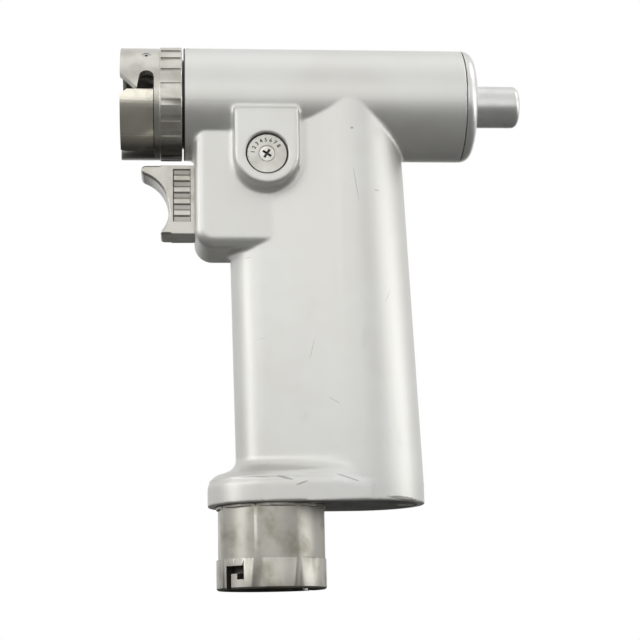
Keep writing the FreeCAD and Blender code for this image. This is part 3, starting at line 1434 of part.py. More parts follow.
def valve_sleeve():
    start = trigger_pocket_end + 0.2
    end = start + S.valve_length
    rim = S.valve_radius - S.seat_gap
    seat_end = S.poppet_place - 0.3
    seat_start = seat_end - S.valve_seat_length
    sleeve = turned("valve_sleeve_body", "X", [
        (start, S.stem_radius + S.running_gap),
        (start, rim),
        (end, rim),
        (end, S.valve_chamber),
        (start + S.valve_throat, S.valve_chamber),
        (start + S.valve_throat, S.stem_radius + S.running_gap),
    ], 0, 0, -S.valve_z)
    tools = [
        cylinder("sleeve_inlet", "Z", 2.5, S.valve_radius + 1, S.inlet_x, 0,
                 -S.valve_z - S.valve_radius - 1),
        cylinder("sleeve_outlet", "Z", S.port_radius * 0.7, S.valve_radius + 1,
                 S.boss_x - 3.9, 0, -S.valve_z),
    ]
    node(cut("valve_sleeve", sleeve, *tools), "valve_sleeve")
    seat = bush("valve_seat", "X", S.valve_chamber - S.seat_gap, S.seat_bore, seat_start,
                seat_end, 0, 0, -S.valve_z)
    return node(seat, "valve_seat")


# Speed dial

def speed_dial():
    face = -S.boss_face + S.dial_sink
    back = -S.boss_face + S.dial_recess - 0.1
    depth = S.dial_screw_head - S.dial_screw_shank
    body = turned("speed_dial", "Y", [
        (face, S.dial_screw_head + 0.05),
        (face, S.dial_radius - 0.3),
        (face + 0.3, S.dial_radius),
        (back, S.dial_radius),
        (back, S.dial_screw_shank + 0.05),
        (face + depth, S.dial_screw_shank + 0.05),
    ], S.boss_x, 0, -S.boss_z)
    return node(body, "speed_dial")


def dial_screw():
    face = -S.boss_face + S.dial_sink
    depth = S.dial_screw_head - S.dial_screw_shank
    body = turned("dial_screw_body", "Y", [
        (face + 0.05, 0),
        (face + 0.05, S.dial_screw_head - 0.05),
        (face + depth + 0.05, S.dial_screw_shank - 0.02),
        (face + S.dial_screw_length, S.dial_screw_shank - 0.02),
        (face + S.dial_screw_length, 0),
    ], S.boss_x, 0, -S.boss_z)
    bars = [box("dial_cross_%d" % way, length, 1.2, height,
                S.boss_x - length / 2, face - 0.2, -S.boss_z - height / 2)
            for way, (length, height) in enumerate(((Size.of(3.2), Size.of(0.75)),
                                                    (Size.of(0.75), Size.of(3.2))))]
    return node(cut("dial_screw", body, *bars), "dial_screw")


def metering_spool():
    start = -S.boss_face + S.dial_recess
    end = start + S.spool_length
    groove = start + 3.0
    spool = turned("spool_body", "Y", [
        (start, S.dial_screw_shank),
        (start, S.spool_radius),
        (groove, S.spool_radius),
        (groove, S.spool_radius - 1.1),
        (groove + 1.5, S.spool_radius - 1.1),
        (groove + 1.5, S.spool_radius),
        (end, S.spool_radius),
        (end, 0),
        (start + 6, 0),
        (start + 6, S.dial_screw_shank),
    ], S.boss_x, 0, -S.boss_z)
    port = cylinder("spool_port", "Z", S.port_radius, S.spool_radius * 2 + 2,
                    S.boss_x, 0, -S.boss_z - S.spool_radius - 1)
    return node(cut("metering_spool", spool, port), "metering_spool")


def spool_seal():
    ring = doc.addObject("Part::Torus", "spool_seal")
    bind(ring, Radius1=S.spool_radius - 0.55, Radius2=0.53)
    put(ring, S.boss_x, -S.boss_face + S.dial_recess + 3.75, -S.boss_z, AXIS_TURNS["Y"])
    return node(ring, "spool_seal")


BUILDERS = [
    body_housing, nose_sleeve, lock_collar, collar_stop_screws, lock_spring,
    output_spindle, first_carrier, ring_gear, motor_cylinder, rotor, rotor_vanes,
    motor_dowel, rear_cap, rear_cap_seal, guide_tube_holder, guide_tube,
    grip_end_plate, end_plate_screws, hose_coupling, inlet_tube, inlet_seal,
    inlet_filter, exhaust_muffler, trigger, trigger_stem, trigger_pin,
    trigger_spring, valve_sleeve, speed_dial, dial_screw, metering_spool, spool_seal,
]

for build in BUILDERS:
    build()

bearing("spindle_bearing", S.spindle_bearing_bore, S.spindle_bearing_rim,
        S.spindle_bearing_width, bearing_start, 8)
bearing("front_rotor_bearing", S.rotor_bearing_bore, S.rotor_bearing_rim,
        S.rotor_bearing_width, motor_start + 0.15, 8)
bearing("rear_rotor_bearing", S.rotor_bearing_bore, S.rotor_bearing_rim,
        S.rotor_bearing_width, rear_plate_start + S.plate_lip + 0.15, 8)
motor_plate("motor_front_plate", motor_start, motor_start, False)
motor_plate("motor_rear_plate", rear_plate_start, rear_plate_start, True)
planets("second", planet2_start)
planets("first", planet1_start)
planet_pins("second", plate2_start, planet2_start + S.planet_width + 0.3)
planet_pins("first", plate1_start, planet1_start + S.planet_width + 0.3)

doc.recompute()

for item in doc.Objects:
    if "Invalid" in item.State or "Error" in item.State:
        raise RuntimeError("%s did not build: %s" % (item.Name, item.State))
for item in NODES:
    if item.Shape.isNull() or not item.Shape.isValid():
        raise RuntimeError("%s has no valid shape" % item.Label)

os.makedirs("parts", exist_ok=True)
for item in NODES:
    item.Shape.exportStep(os.path.join("parts", item.Label + ".step"))
    print("%-24s solids %2d volume %9.1f" % (item.Label, len(item.Shape.Solids),
                                             item.Shape.Volume))
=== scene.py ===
# %% [markdown]
# # A pneumatic surgical drill, dressed for the camera
# The drill's solids come in as a fixed frame: a cast housing, a steel lock
# collar at the nose, a trigger, a numbered dial, a rear cap and a hose coupling.
# This lesson keeps every solid where it is and gives it the surface of the real
# thing: blasted alloy, turned steel, engraved numbers and honest wear.

# %% Load the frame
import json
import math

import bmesh
import bpy
import numpy as np
from mathutils import Euler, Matrix, Quaternion, Vector


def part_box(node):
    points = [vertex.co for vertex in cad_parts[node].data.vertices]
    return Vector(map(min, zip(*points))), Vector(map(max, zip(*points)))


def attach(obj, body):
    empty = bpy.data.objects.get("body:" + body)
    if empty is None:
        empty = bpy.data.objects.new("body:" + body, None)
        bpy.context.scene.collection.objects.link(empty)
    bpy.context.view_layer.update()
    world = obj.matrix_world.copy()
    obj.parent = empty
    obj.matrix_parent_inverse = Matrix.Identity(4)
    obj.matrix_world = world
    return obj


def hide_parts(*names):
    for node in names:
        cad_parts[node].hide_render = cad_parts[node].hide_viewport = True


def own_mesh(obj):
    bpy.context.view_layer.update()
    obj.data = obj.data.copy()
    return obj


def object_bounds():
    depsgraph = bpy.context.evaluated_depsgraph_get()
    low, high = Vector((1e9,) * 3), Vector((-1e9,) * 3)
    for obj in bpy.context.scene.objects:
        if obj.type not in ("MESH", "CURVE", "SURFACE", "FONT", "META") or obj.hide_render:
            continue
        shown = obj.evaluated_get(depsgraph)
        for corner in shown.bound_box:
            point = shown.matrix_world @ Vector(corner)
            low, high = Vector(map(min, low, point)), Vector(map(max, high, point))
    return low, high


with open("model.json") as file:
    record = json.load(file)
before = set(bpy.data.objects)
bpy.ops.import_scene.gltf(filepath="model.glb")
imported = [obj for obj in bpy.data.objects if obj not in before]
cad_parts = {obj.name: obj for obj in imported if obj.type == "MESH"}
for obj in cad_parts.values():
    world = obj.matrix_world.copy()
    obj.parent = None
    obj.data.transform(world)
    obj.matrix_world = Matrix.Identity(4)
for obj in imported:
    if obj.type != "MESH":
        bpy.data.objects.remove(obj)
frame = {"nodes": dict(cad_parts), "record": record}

MM = 0.001
nodes = frame["nodes"]
body_of_node = {member: body
                for body, members in frame["record"]["behaviour"]["bodies"].items()
                for member in members}
cad_low, cad_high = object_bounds()
scene = bpy.context.scene
print("solids", len(nodes), "box", [round(v / MM, 1) for v in cad_high - cad_low])

# %% [markdown]
# ## Where the camera stands
# The picture was taken from half a metre away, five degrees towards the nose and
# a little from below. A long lens keeps the barrel's ends nearly straight. The
# camera looks at the middle of the picture, a point on the grip's middle plane,
# and was held with a slight roll, so that the barrel seems level.

# %% Camera
LOOK_AT = Vector((65.9, 0.0, -74.8)) * MM
DISTANCE = 0.5275
AZIMUTH = math.radians(-5.0)
ELEVATION = math.radians(-11.7)
ROLL = math.radians(-1.2)
FOCAL_PIXELS = 1585.0
FRAME_PIXELS = 640.0

back = Vector((math.sin(AZIMUTH) * math.cos(ELEVATION),
               -math.cos(AZIMUTH) * math.cos(ELEVATION),
               math.sin(ELEVATION)))
camera_data = bpy.data.cameras.new("camera")
camera_data.sensor_width = 36.0
camera_data.lens = FOCAL_PIXELS / FRAME_PIXELS * camera_data.sensor_width
camera_data.clip_start = 0.02
camera = bpy.data.objects.new("camera", camera_data)
camera.location = LOOK_AT + back * DISTANCE
aim = (-back).to_track_quat("-Z", "Y") @ Quaternion((0.0, 0.0, 1.0), ROLL)
camera.rotation_euler = aim.to_euler()
scene.collection.objects.link(camera)
scene.camera = camera
scene.view_settings.view_transform = "Standard"
print("lens", round(camera_data.lens, 1), "mm at", [round(v / MM) for v in camera.location])

# %% [markdown]
# ## Writing shader maths as sums
# A pattern is easier to read as `base + grain * 0.2` than as a list of nodes and
# links. One small class stands for a socket and adds a Math node for each
# operator.


# %% Sockets that can be added up
class Signal:
    """A value inside a node tree that can stand in a sum."""

    def __init__(self, nodes, socket):
        self.nodes = nodes
        self.socket = socket

    def math(self, operation, *others):
        return self.nodes.add("ShaderNodeMath", {"operation": operation}, self, *others)

    def __add__(self, other):
        return self.math("ADD", other)

    def __sub__(self, other):
        return self.math("SUBTRACT", other)

    def __rsub__(self, other):
        return self.nodes.add("ShaderNodeMath", {"operation": "SUBTRACT"}, other, self)

    def __mul__(self, other):
        return self.math("MULTIPLY", other)

    def over(self, low, high):
        """0 below low, 1 above high, smooth between."""
        return self.nodes.add("ShaderNodeMapRange", {"interpolation_type": "SMOOTHSTEP"},
                              self, low, high, 0.0, 1.0)

    __radd__ = __add__
    __rmul__ = __mul__


print("signals can be added, subtracted and multiplied")

# %% [markdown]
# ## One method that makes every node
# A node tree needs the same three steps for each node: make it, set it, wire it.
# `add` does all three and returns the node's output as a signal. A finish is a
# node tree that belongs to a material and ends in its shader.


# %% Node trees and finishes
class Nodes:
    """A node tree that is being built."""

    def __init__(self, tree):
        self.tree = tree

    def add(self, kind, settings=None, *inputs, out=0, **named):
        """Add one node: settings first, then its sockets' values or links."""
        item = self.tree.nodes.new(kind)
        for name, value in (settings or {}).items():
            setattr(item, name, value)
        for key, value in list(enumerate(inputs)) + list(named.items()):
            key = key.replace("_", " ") if isinstance(key, str) else key
            self.feed(item.inputs[key], value)
        return Signal(self, item.outputs[out])

    def feed(self, socket, value):
        """Link a signal to a socket, or set a number, vector or colour on it."""
        if isinstance(value, Signal):
            self.tree.links.new(value.socket, socket)
        elif value is not None:
            socket.default_value = value + (1.0,) if socket.type == "RGBA" else value


class Finish(Nodes):
    """A procedural material that is being built."""

    def __init__(self, name):
        self.material = bpy.data.materials.new(name)
        self.material.use_nodes = True
        super().__init__(self.material.node_tree)
        self.shader = self.tree.nodes["Principled BSDF"]
        self.place = self.add("ShaderNodeTexCoord", out="Object")

    def axes(self):
        """The three object coordinates, in metres."""
        split = self.add("ShaderNodeSeparateXYZ", None, self.place)
        return [Signal(self, socket) for socket in split.socket.node.outputs]

    def noise(self, scale, detail=3.0, stretch=(1, 1, 1), roughness=0.55):
        """Noise with a size in marks per metre, stretched along the axes."""
        moved = self.add("ShaderNodeVectorMath", {"operation": "MULTIPLY"}, self.place, stretch)
        return self.add("ShaderNodeTexNoise", None, moved, Scale=scale, Detail=detail,
                        Roughness=roughness)

    def blend(self, share, low, high):
        """Mix two colours by a share."""
        item = self.tree.nodes.new("ShaderNodeMix")
        item.data_type = "RGBA"
        for socket, value in zip((item.inputs[0], item.inputs[6], item.inputs[7]),
                                 (share, low, high)):
            self.feed(socket, value)
        return Signal(self, item.outputs[2])

    def surface(self, **sockets):
        """Feed the shader; numbers are set on its sockets."""
        for name, value in sockets.items():
            self.feed(self.shader.inputs[name.replace("_", " ")], value)

    def bump(self, height, depth):
        """Relief of a real depth in metres."""
        normal = self.add("ShaderNodeBump", None, Strength=1.0, Distance=depth, Height=height)
        self.feed(self.shader.inputs["Normal"], normal)


print("node trees and finishes ready")

# %% [markdown]
# ## Colours
# A colour is written as it looks on a display, from 0 to 255. The shader counts
# light instead, so the display's curve is taken out again.


# %% Display colour to light
def linear(red, green, blue):
    """A display colour as scene-linear numbers."""
    return tuple(((c / 255 + 0.055) / 1.055) ** 2.4 if c > 10 else c / 255 / 12.92
                 for c in (red, green, blue))


print("a mid grey of 128 reflects", round(linear(128, 128, 128)[0], 3))

# %% [markdown]
# ## Blasted alloy
# The housing is an alloy casting, blasted to an even satin and then anodised. It
# is nearly white, slightly warm, with a fine grain that only shows as a soft
# sheen. Use has left a few thin scratches and scuffs, most of them low on the
# grip, and a short index line stands beside the dial. Each mark is placed in the
# housing's own coordinates, so that it stays put when the drill moves.

# %% Marks on the housing
# kind, x, z, half length, half width (mm), turn (degrees), strength
HOUSING_MARKS = [
    ("dark", 76.1, -14.0, 0.5, 0.4, 0, 0.6),
    ("dark", 77.0, -33.2, 6.4, 0.14, 98, 0.4),
    ("dark", 83.9, -35.0, 1.0, 0.25, 0, 0.4),
    ("dark", 52.2, -129.3, 2.8, 0.35, -14, 0.5),
    ("dark", 57.4, -131.0, 2.0, 0.3, 20, 0.5),
    ("bright", 73.8, -130.4, 6.8, 1.7, -12, 0.7),
    ("dark", 72.2, -129.6, 4.0, 0.22, -20, 0.5),
    ("dark", 89.5, -135.9, 5.2, 0.6, -3, 0.75),
    ("dark", 41.5, -56.1, 1.6, 0.14, 2, 0.45),
    ("dark", 61.7, -87.9, 3.4, 0.12, 76, 0.35),
    ("dark", 68.3, -104.7, 2.2, 0.12, -32, 0.35),
    ("bright", 45.3, -83.6, 2.6, 0.14, 12, 0.5),
    ("dark", 86.6, -70.6, 2.4, 0.1, 66, 0.35),
    ("dark", 58.6, -27.1, 1.2, 0.13, 90, 0.75),
    ("dark", 57.4, -26.0, 0.5, 0.1, 25, 0.5),
]


def mark_mask(finish, kind):
    """Soft-edged ellipses on the dial side, broken up by noise."""
    ragged = finish.noise(900.0, 4.0) - 0.5
    across, depth, height = finish.axes()
    near_side = 1.0 - depth.over(-0.012, -0.008)
    total = None
    for mark_kind, x, z, half_long, half_wide, turn, strength in HOUSING_MARKS:
        if mark_kind != kind:
            continue
        cosine, sine = math.cos(math.radians(turn)), math.sin(math.radians(turn))
        right, up = across - x * MM, height - z * MM
        along = (right * cosine + up * sine) * (1 / (half_long * MM))
        side = (up * cosine - right * sine) * (1 / (half_wide * MM))
        distance = along * along + side * side + ragged * 1.6
        spot = (1.0 - distance.over(0.55, 1.25)) * strength
        total = spot if total is None else total.math("MAXIMUM", spot)
    return total * near_side


print("dark marks", [mark[0] for mark in HOUSING_MARKS].count("dark"), "of", len(HOUSING_MARKS))

# %% [markdown]
# The slit between collar and barrel is in shade all round, and the barrel's end
# face at its bottom is darkened to keep it a clean line.

# %% Housing finish
SLIT_REAR = (0.0212, 0.0215)  # metres from the nose: fully dark, fully clean


def housing_finish():
    """Satin alloy with soft clouds, smudges, marks and the dark slit."""
    finish = Finish("satin_housing_alloy")
    clouds = finish.noise(28.0, 3.0).over(0.35, 0.7)
    grain = finish.noise(5200.0, 2.0)
    tint = finish.blend(clouds, linear(222, 221, 216), linear(229, 229, 225))
    smudge = finish.noise(95.0, 5.0, (1.0, 1.0, 0.6)).over(0.62, 0.78) * 0.25
    tint = finish.blend(smudge, tint, linear(205, 203, 196))
    bright = mark_mask(finish, "bright")
    dark = mark_mask(finish, "dark")
    tint = finish.blend(bright, tint, linear(196, 197, 196))
    tint = finish.blend(dark, tint, linear(120, 118, 112))
    slit = 1.0 - finish.axes()[0].over(*SLIT_REAR)
    tint = finish.blend(slit, tint, linear(34, 33, 31))
    finish.surface(Base_Color=tint, Metallic=(0.6 + bright * 0.3) * (1.0 - slit),
                   Roughness=0.43 + clouds * 0.05 + smudge * 0.2 - bright * 0.12)
    finish.bump(grain * 0.6 + smudge * 0.4 - dark * 3.0, 0.000012)
    return finish.material


HOUSING = housing_finish()
print("housing nodes", len(HOUSING.node_tree.nodes))

# %% [markdown]
# ## Painted shade where light does not reach
# The gap round a disc, the bottom of a recess, the inside and underside of the
# nose and the grooves of the trigger's panels are painted darker, as painted
# shade. Each function below gives a share of painted shade, from 0 to 1, that a
# metal finish can take in. The first one is made for a given disc, so it returns
# the function for that disc.


# %% Painted shade round a disc and inside the nose
def disc_painted_shade(label, start, strength, depth=None):
    """Painted shade at a disc's rim and, if wanted, below a depth from its face."""
    low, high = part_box(label)
    middle, reach = (low + high) / 2, (high.x - low.x) / 2

    def share(finish):
        across, inward, height = finish.axes()
        right = (across - middle.x) * (1 / reach)
        up = (height - middle.z) * (1 / reach)
        rim = (right * right + up * up).over(start ** 2, start ** 2 + 0.05) * strength
        if depth is None:
            return rim
        return rim.math("MAXIMUM", inward.over(low.y + depth, low.y + depth + 0.0002))

    return share


NOSE_HOLLOW = 15.4  # mm, radius inside which the nose gets painted shade
NOSE_FRONT = (0.0006, 0.0014)  # metres: no painted shade, full painted shade
NOSE_UNDERSIDE = (-0.0178, -0.0145)  # metres: full painted shade, no painted shade


def nose_painted_shade(finish):
    """Painted shade inside the nose, behind its front edge, and along its underside."""
    across, side, height = finish.axes()
    square = side * side * 1e6 + height * height * 1e6
    hollow = 1.0 - square.over(NOSE_HOLLOW ** 2, (NOSE_HOLLOW + 0.6) ** 2)
    under = 1.0 - height.over(*NOSE_UNDERSIDE)
    return (hollow * across.over(*NOSE_FRONT) * 0.9).math("MAXIMUM", under * 0.8)


print("nose hollow", NOSE_HOLLOW, "mm")

# %% [markdown]
# The trigger's panels lie on both sides, a little below their frames. The frame's
# inner edges and the floors of the grooves are painted darker, as painted shade.

# %% Painted shade in the trigger's panels
PANEL_FRONT, PANEL_REAR = 0.0174, 0.0230
PANEL_BELOW_TOP = (0.0195, 0.0013)  # the panel's lower and upper end


def panel_painted_shade(finish):
    """Painted shade in the grooves of the ribbed panels and along their frames."""
    across, side, height = finish.axes()
    side = side.math("ABSOLUTE")
    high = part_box("trigger")[1]
    bottom, top = (high.z - below for below in PANEL_BELOW_TOP)
    panel = (across.over(PANEL_FRONT - 0.00025, PANEL_FRONT - 0.0001)
             * (1.0 - across.over(PANEL_REAR + 0.0001, PANEL_REAR + 0.00025))
             * height.over(bottom, bottom + 0.0002) * (1.0 - height.over(top, top + 0.0002)))
    outside = side.over(0.005, 0.0052)
    grooves = (1.0 - side.over(high.y - 0.0006, high.y - 0.00045)) * outside
    front = (across - PANEL_FRONT).math("ABSOLUTE")
    rear = (across - PANEL_REAR).math("ABSOLUTE")
    frame_edge = (1.0 - front.math("MINIMUM", rear).over(0.0001, 0.0002)) * outside
    return panel * (grooves * 0.22).math("MAXIMUM", frame_edge * 0.7)


print("panel", round((PANEL_REAR - PANEL_FRONT) / MM, 1), "mm wide")

# %% [markdown]
# ## Turned and brushed metal
# Collar, coupling, cap and screws were turned in a lathe, so their fine lines
# run round the part's axis. A noise squeezed along that axis gives such lines.
# The steel of the nose is greyer and warmer than the housing.

# %% Turned metal
RINGS_ROUND = {"X": (1.0, 0.02, 0.02), "Y": (0.02, 1.0, 0.02), "Z": (0.02, 0.02, 1.0)}


def turned_finish(name, light, dark, axis, metallic=1.0, roughness=0.3, lines=1.0, painted_shade_of=None):
    """Metal with lathe lines round an axis; the last argument is a function that gives a share
    of painted shade.
    """
    finish = Finish(name)
    rings = finish.noise(9000.0, 3.0, RINGS_ROUND[axis])
    stain = finish.noise(120.0, 4.0).over(0.42, 0.72)
    tint = finish.blend(stain, light, dark)
    tint = finish.blend(rings.over(0.3, 0.8) * (0.16 * lines), tint, dark)
    specks = finish.noise(1500.0, 2.0).over(0.72, 0.78) * 0.3
    tint = finish.blend(specks, tint, linear(84, 80, 72))
    if painted_shade_of:
        # painted shade: its share turns the metal dark and dull
        black = painted_shade_of(finish)
        tint = finish.blend(black, tint, linear(30, 29, 26))
        metallic = (1.0 - black) * metallic
    finish.surface(Base_Color=tint, Metallic=metallic,
                   Roughness=roughness + rings * (0.12 * lines) + stain * 0.06)
    finish.bump(rings + specks * -0.5, 0.000006 * lines)
    return finish.material


print("lathe lines round", list(RINGS_ROUND))

# %% [markdown]
# The outer metals first: name, light and dark colour, axis of the lines, metallic
# share, roughness, strength of the lines, and painted shade.

# %% Metals of the visible pieces
COLLAR_METAL = turned_finish("collar_steel", linear(203, 201, 193), linear(184, 181, 171), "X",
                             0.7, 0.26, 0.35, nose_painted_shade)
# The nose sleeve is the same steel as the collar; its lighter colour is painted light, so that
# it looks lit.
NOSE_STEEL_PAINTED_LIGHTER = turned_finish("nose_steel", linear(226, 222, 208), linear(206, 201, 186), "X",
                           0.75, 0.2, 0.3, nose_painted_shade)
COUPLING_METAL = turned_finish("coupling_steel", linear(166, 164, 156), linear(142, 138, 127),
                               "Z", 1.0, 0.32, 0.5)
CAP_METAL = turned_finish("rear_cap_alloy", linear(224, 224, 221), linear(219, 219, 216), "X",
                          0.65, 0.3, 0.5)
STUB_METAL = turned_finish("stub_alloy", linear(222, 222, 220), linear(212, 212, 209), "X",
                           0.65, 0.3, 0.6)
TRIGGER_METAL = turned_finish("trigger_alloy", linear(188, 186, 179), linear(170, 167, 157),
                              "Y", 0.8, 0.3, 0.3, panel_painted_shade)
# The dial's rim gap and the screw's cross recess get painted shade.
DIAL_METAL = turned_finish("dial_steel", linear(216, 215, 208), linear(200, 198, 190), "Y",
                           0.6, 0.34, 0.7, disc_painted_shade("speed_dial", 0.935, 0.92))
DIAL_SCREW_METAL = turned_finish("dial_screw_steel", linear(205, 204, 198),
                                 linear(180, 178, 170), "Y", 0.9, 0.28, 0.5,
                                 disc_painted_shade("dial_screw", 0.93, 0.7, 0.00018))
print("turned metals from", COLLAR_METAL.name, "to", DIAL_SCREW_METAL.name)

# %% Metals of screws, gears, bearings and valve
SCREW_METAL = turned_finish("screw_steel", linear(205, 204, 198), linear(180, 178, 170), "Y",
                            0.9, 0.28, 0.5)
GROUND_STEEL = turned_finish("ground_steel", linear(176, 176, 175), linear(140, 140, 139), "X",
                             1.0, 0.26)
BEARING_STEEL = turned_finish("bearing_steel", linear(214, 214, 216), linear(190, 190, 193),
                              "X", 1.0, 0.12, 0.3)
PLATE_METAL = turned_finish("end_plate_alloy", linear(112, 110, 106), linear(92, 90, 85),
                            "Z", 0.6, 0.46, 0.6)
BRASS = turned_finish("valve_brass", linear(206, 178, 112), linear(176, 146, 84), "Z", 1.0,
                      0.3)
SPRING_WIRE = turned_finish("spring_wire", linear(168, 168, 166), linear(132, 132, 130), "X",
                            1.0, 0.24, 0.4)
print("turned metals from", SCREW_METAL.name, "to", SPRING_WIRE.name)

# %% [markdown]
# ## Small parts that are not metal
# Rubber rings are nearly black and a little dusty. The vanes are a brown
# laminate of cloth and resin, the valve seat a white bearing plastic, the
# exhaust filter a pressed felt and the air filter sintered bronze grains.


# %% Rubber, plastics and felt
def plain_finish(name, light, dark, roughness, scale, depth):
    """A cloudy two-colour finish with a fine relief."""
    finish = Finish(name)
    cloud = finish.noise(scale, 4.0)
    finish.surface(Base_Color=finish.blend(cloud.over(0.3, 0.7), light, dark),
                   Roughness=roughness + cloud * 0.1)
    finish.bump(cloud, depth)
    return finish.material


RUBBER = plain_finish("seal_rubber", linear(34, 34, 35), linear(22, 22, 23), 0.55, 1800.0,
                      0.00001)
LAMINATE = plain_finish("vane_laminate", linear(128, 86, 50), linear(92, 60, 36), 0.5,
                        2500.0, 0.00001)
SEAT_PLASTIC = plain_finish("seat_plastic", linear(232, 231, 224), linear(220, 219, 210),
                            0.42, 900.0, 0.000004)
FELT = plain_finish("filter_felt", linear(226, 222, 208), linear(196, 190, 172), 0.85,
                    2600.0, 0.0001)
INK = plain_finish("number_ink", linear(52, 50, 46), linear(72, 70, 64), 0.5, 3000.0,
                   0.000004)
SINTER = plain_finish("sintered_bronze", linear(184, 150, 96), linear(140, 108, 62), 0.6,
                      4200.0, 0.00006)
print("small finishes ready")

# %% [markdown]
# ## Finishes for every solid
# Each solid of the frame takes one finish, whether it shows or not. The inner
# pieces that aren't in the list are ground steel, or bearing steel.

# %% Give each solid its finish
FINISH_OF_NODE = {
    "body_housing": HOUSING, "lock_collar": COLLAR_METAL, "nose_sleeve": NOSE_STEEL_PAINTED_LIGHTER,
    "rear_cap": CAP_METAL, "guide_tube_holder": STUB_METAL, "guide_tube": GROUND_STEEL,
    "trigger": TRIGGER_METAL, "speed_dial": DIAL_METAL, "dial_screw": DIAL_SCREW_METAL,
    "hose_coupling": COUPLING_METAL, "grip_end_plate": PLATE_METAL,
    "end_plate_screws": SCREW_METAL, "inlet_tube": BRASS, "inlet_filter": SINTER,
    "exhaust_muffler": FELT, "rotor_vanes": LAMINATE, "valve_seat": SEAT_PLASTIC,
    "valve_sleeve": BRASS, "lock_spring": SPRING_WIRE, "trigger_spring": SPRING_WIRE,
    "rear_cap_seal": RUBBER, "inlet_seal": RUBBER, "spool_seal": RUBBER,
}
for label, solid in nodes.items():
    FINISH_OF_NODE.setdefault(label, BEARING_STEEL if "bearing" in label else GROUND_STEEL)
    solid.data.materials.clear()
    solid.data.materials.append(FINISH_OF_NODE[label])
print("finishes given to", len(nodes), "solids")

# %% [markdown]
# ## Rounded edges on machined pieces
# A machined edge is never perfectly sharp: a tenth of a millimetre is broken
# off, and that small band catches the light. The frame's solids are loose
# triangles, so a copy is merged, its flat faces are joined up, and a Bevel
# modifier breaks the edges. The copy then stands for the solid.


# %% Copies that stand for a solid
def merged_copy(label):
    """The solid's mesh, with its triangles joined into one skin."""
    mesh = nodes[label].data.copy()
    mesh.name = label + "_skin"
    shell = bmesh.new()
    shell.from_mesh(mesh)
    bmesh.ops.remove_doubles(shell, verts=shell.verts, dist=2e-6)
    shell.to_mesh(mesh)
    shell.free()
    return mesh


def stand_for(mesh, label, name):
    """An object for a mesh that takes the place of one solid."""
    piece = bpy.data.objects.new(name, mesh)
    scene.collection.objects.link(piece)
    mesh.materials.clear()
    mesh.materials.append(FINISH_OF_NODE[label])
    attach(piece, body_of_node[label])
    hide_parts(label)
    return piece


def baked(piece, name):
    """The mesh that an object's modifiers give; the object is removed."""
    bpy.context.view_layer.update()
    made = bpy.data.meshes.new_from_object(piece.evaluated_get(
        bpy.context.evaluated_depsgraph_get()))
    made.name = name
    bpy.data.objects.remove(piece)
    return made


# %% [markdown]
# The dial screw's cross stands at a slant in the picture. Its solid is round
# apart from the cross, so the copy may be turned about the screw's axis.

# %% Break the edges of the machined pieces
SCREW_TURN = math.radians(34.0)
FLAT = math.radians(0.4)
SHARP = math.radians(32.0)
EDGE_WIDTHS = {  # mm
    "lock_collar": 0.12, "nose_sleeve": 0.1, "rear_cap": 0.1, "guide_tube_holder": 0.1,
    "speed_dial": 0.12, "dial_screw": 0.06, "hose_coupling": 0.14, "grip_end_plate": 0.1,
    "end_plate_screws": 0.05, "inlet_tube": 0.08, "output_spindle": 0.08, "guide_tube": 0.05,
}


def turn_mesh(mesh, label, angle):
    """Turn a mesh about the Y axis through the middle of its solid."""
    low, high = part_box(label)
    middle = Matrix.Translation((low + high) / 2)
    mesh.transform(middle @ Matrix.Rotation(angle, 4, "Y") @ middle.inverted())


def machined(label, width):
    """Dressed copy of a solid with broken edges."""
    mesh = merged_copy(label)
    if label == "dial_screw":
        turn_mesh(mesh, label, SCREW_TURN)
    shell = bmesh.new()
    shell.from_mesh(mesh)
    bmesh.ops.dissolve_limit(shell, angle_limit=FLAT, verts=shell.verts, edges=shell.edges)
    shell.to_mesh(mesh)
    shell.free()
    mesh.shade_smooth()
    mesh.set_sharp_from_angle(angle=SHARP)
    rough = bpy.data.objects.new(label + "_rough", mesh)
    scene.collection.objects.link(rough)
    bevel = rough.modifiers.new("edge", "BEVEL")
    bevel.width = width * MM
    bevel.segments = 2
    bevel.limit_method = "ANGLE"
    bevel.angle_limit = SHARP
    bevel.harden_normals = True
    bevel.use_clamp_overlap = True
    skin = baked(rough, label + "_skin")
    stand_for(skin, label, "dressed_" + label)
    print(label, "faces", len(skin.polygons))


for label, width in EDGE_WIDTHS.items():
    machined(label, width)

# %% [markdown]
# ## Nets of small faces
# Some shapes are worn or cast, and no edge modifier gives them. A voxel remesh
# makes an even net of a solid. Its points are then held in arrays, and moving
# each point towards the mean of its neighbours rounds the net off, as far and
# where a weight allows.


# %% Net and smoothing
def net_of(label, voxel):
    """Voxel net of a solid: its mesh, points, edges and neighbour counts."""
    rough = bpy.data.objects.new(label + "_rough", merged_copy(label))
    scene.collection.objects.link(rough)
    remesh = rough.modifiers.new("net", "REMESH")
    remesh.mode = "VOXEL"
    remesh.voxel_size = voxel * MM
    mesh = baked(rough, label + "_net")
    points = np.empty(len(mesh.vertices) * 3)
    mesh.vertices.foreach_get("co", points)
    edges = np.empty(len(mesh.edges) * 2, dtype=np.int64)
    mesh.edges.foreach_get("vertices", edges)
    counts = np.bincount(edges, minlength=len(mesh.vertices)).astype(float)
    return mesh, points.reshape(-1, 3), edges.reshape(-1, 2), counts


def neighbour_mean(points, edges, counts):
    """Mean place of each point's neighbours."""
    total = np.zeros_like(points)
    for axis in range(points.shape[1]):
        total[:, axis] = np.bincount(
            np.concatenate([edges[:, 0], edges[:, 1]]),
            np.concatenate([points[edges[:, 1], axis], points[edges[:, 0], axis]]),
            len(points))
    return total / counts[:, None]


def relax(points, edges, counts, rounds, *weights):
    """Move points towards their neighbours' mean, in place."""
    for _ in range(rounds):
        step = neighbour_mean(points, edges, counts) - points
        for weight in weights:
            step = step * weight
        points += step


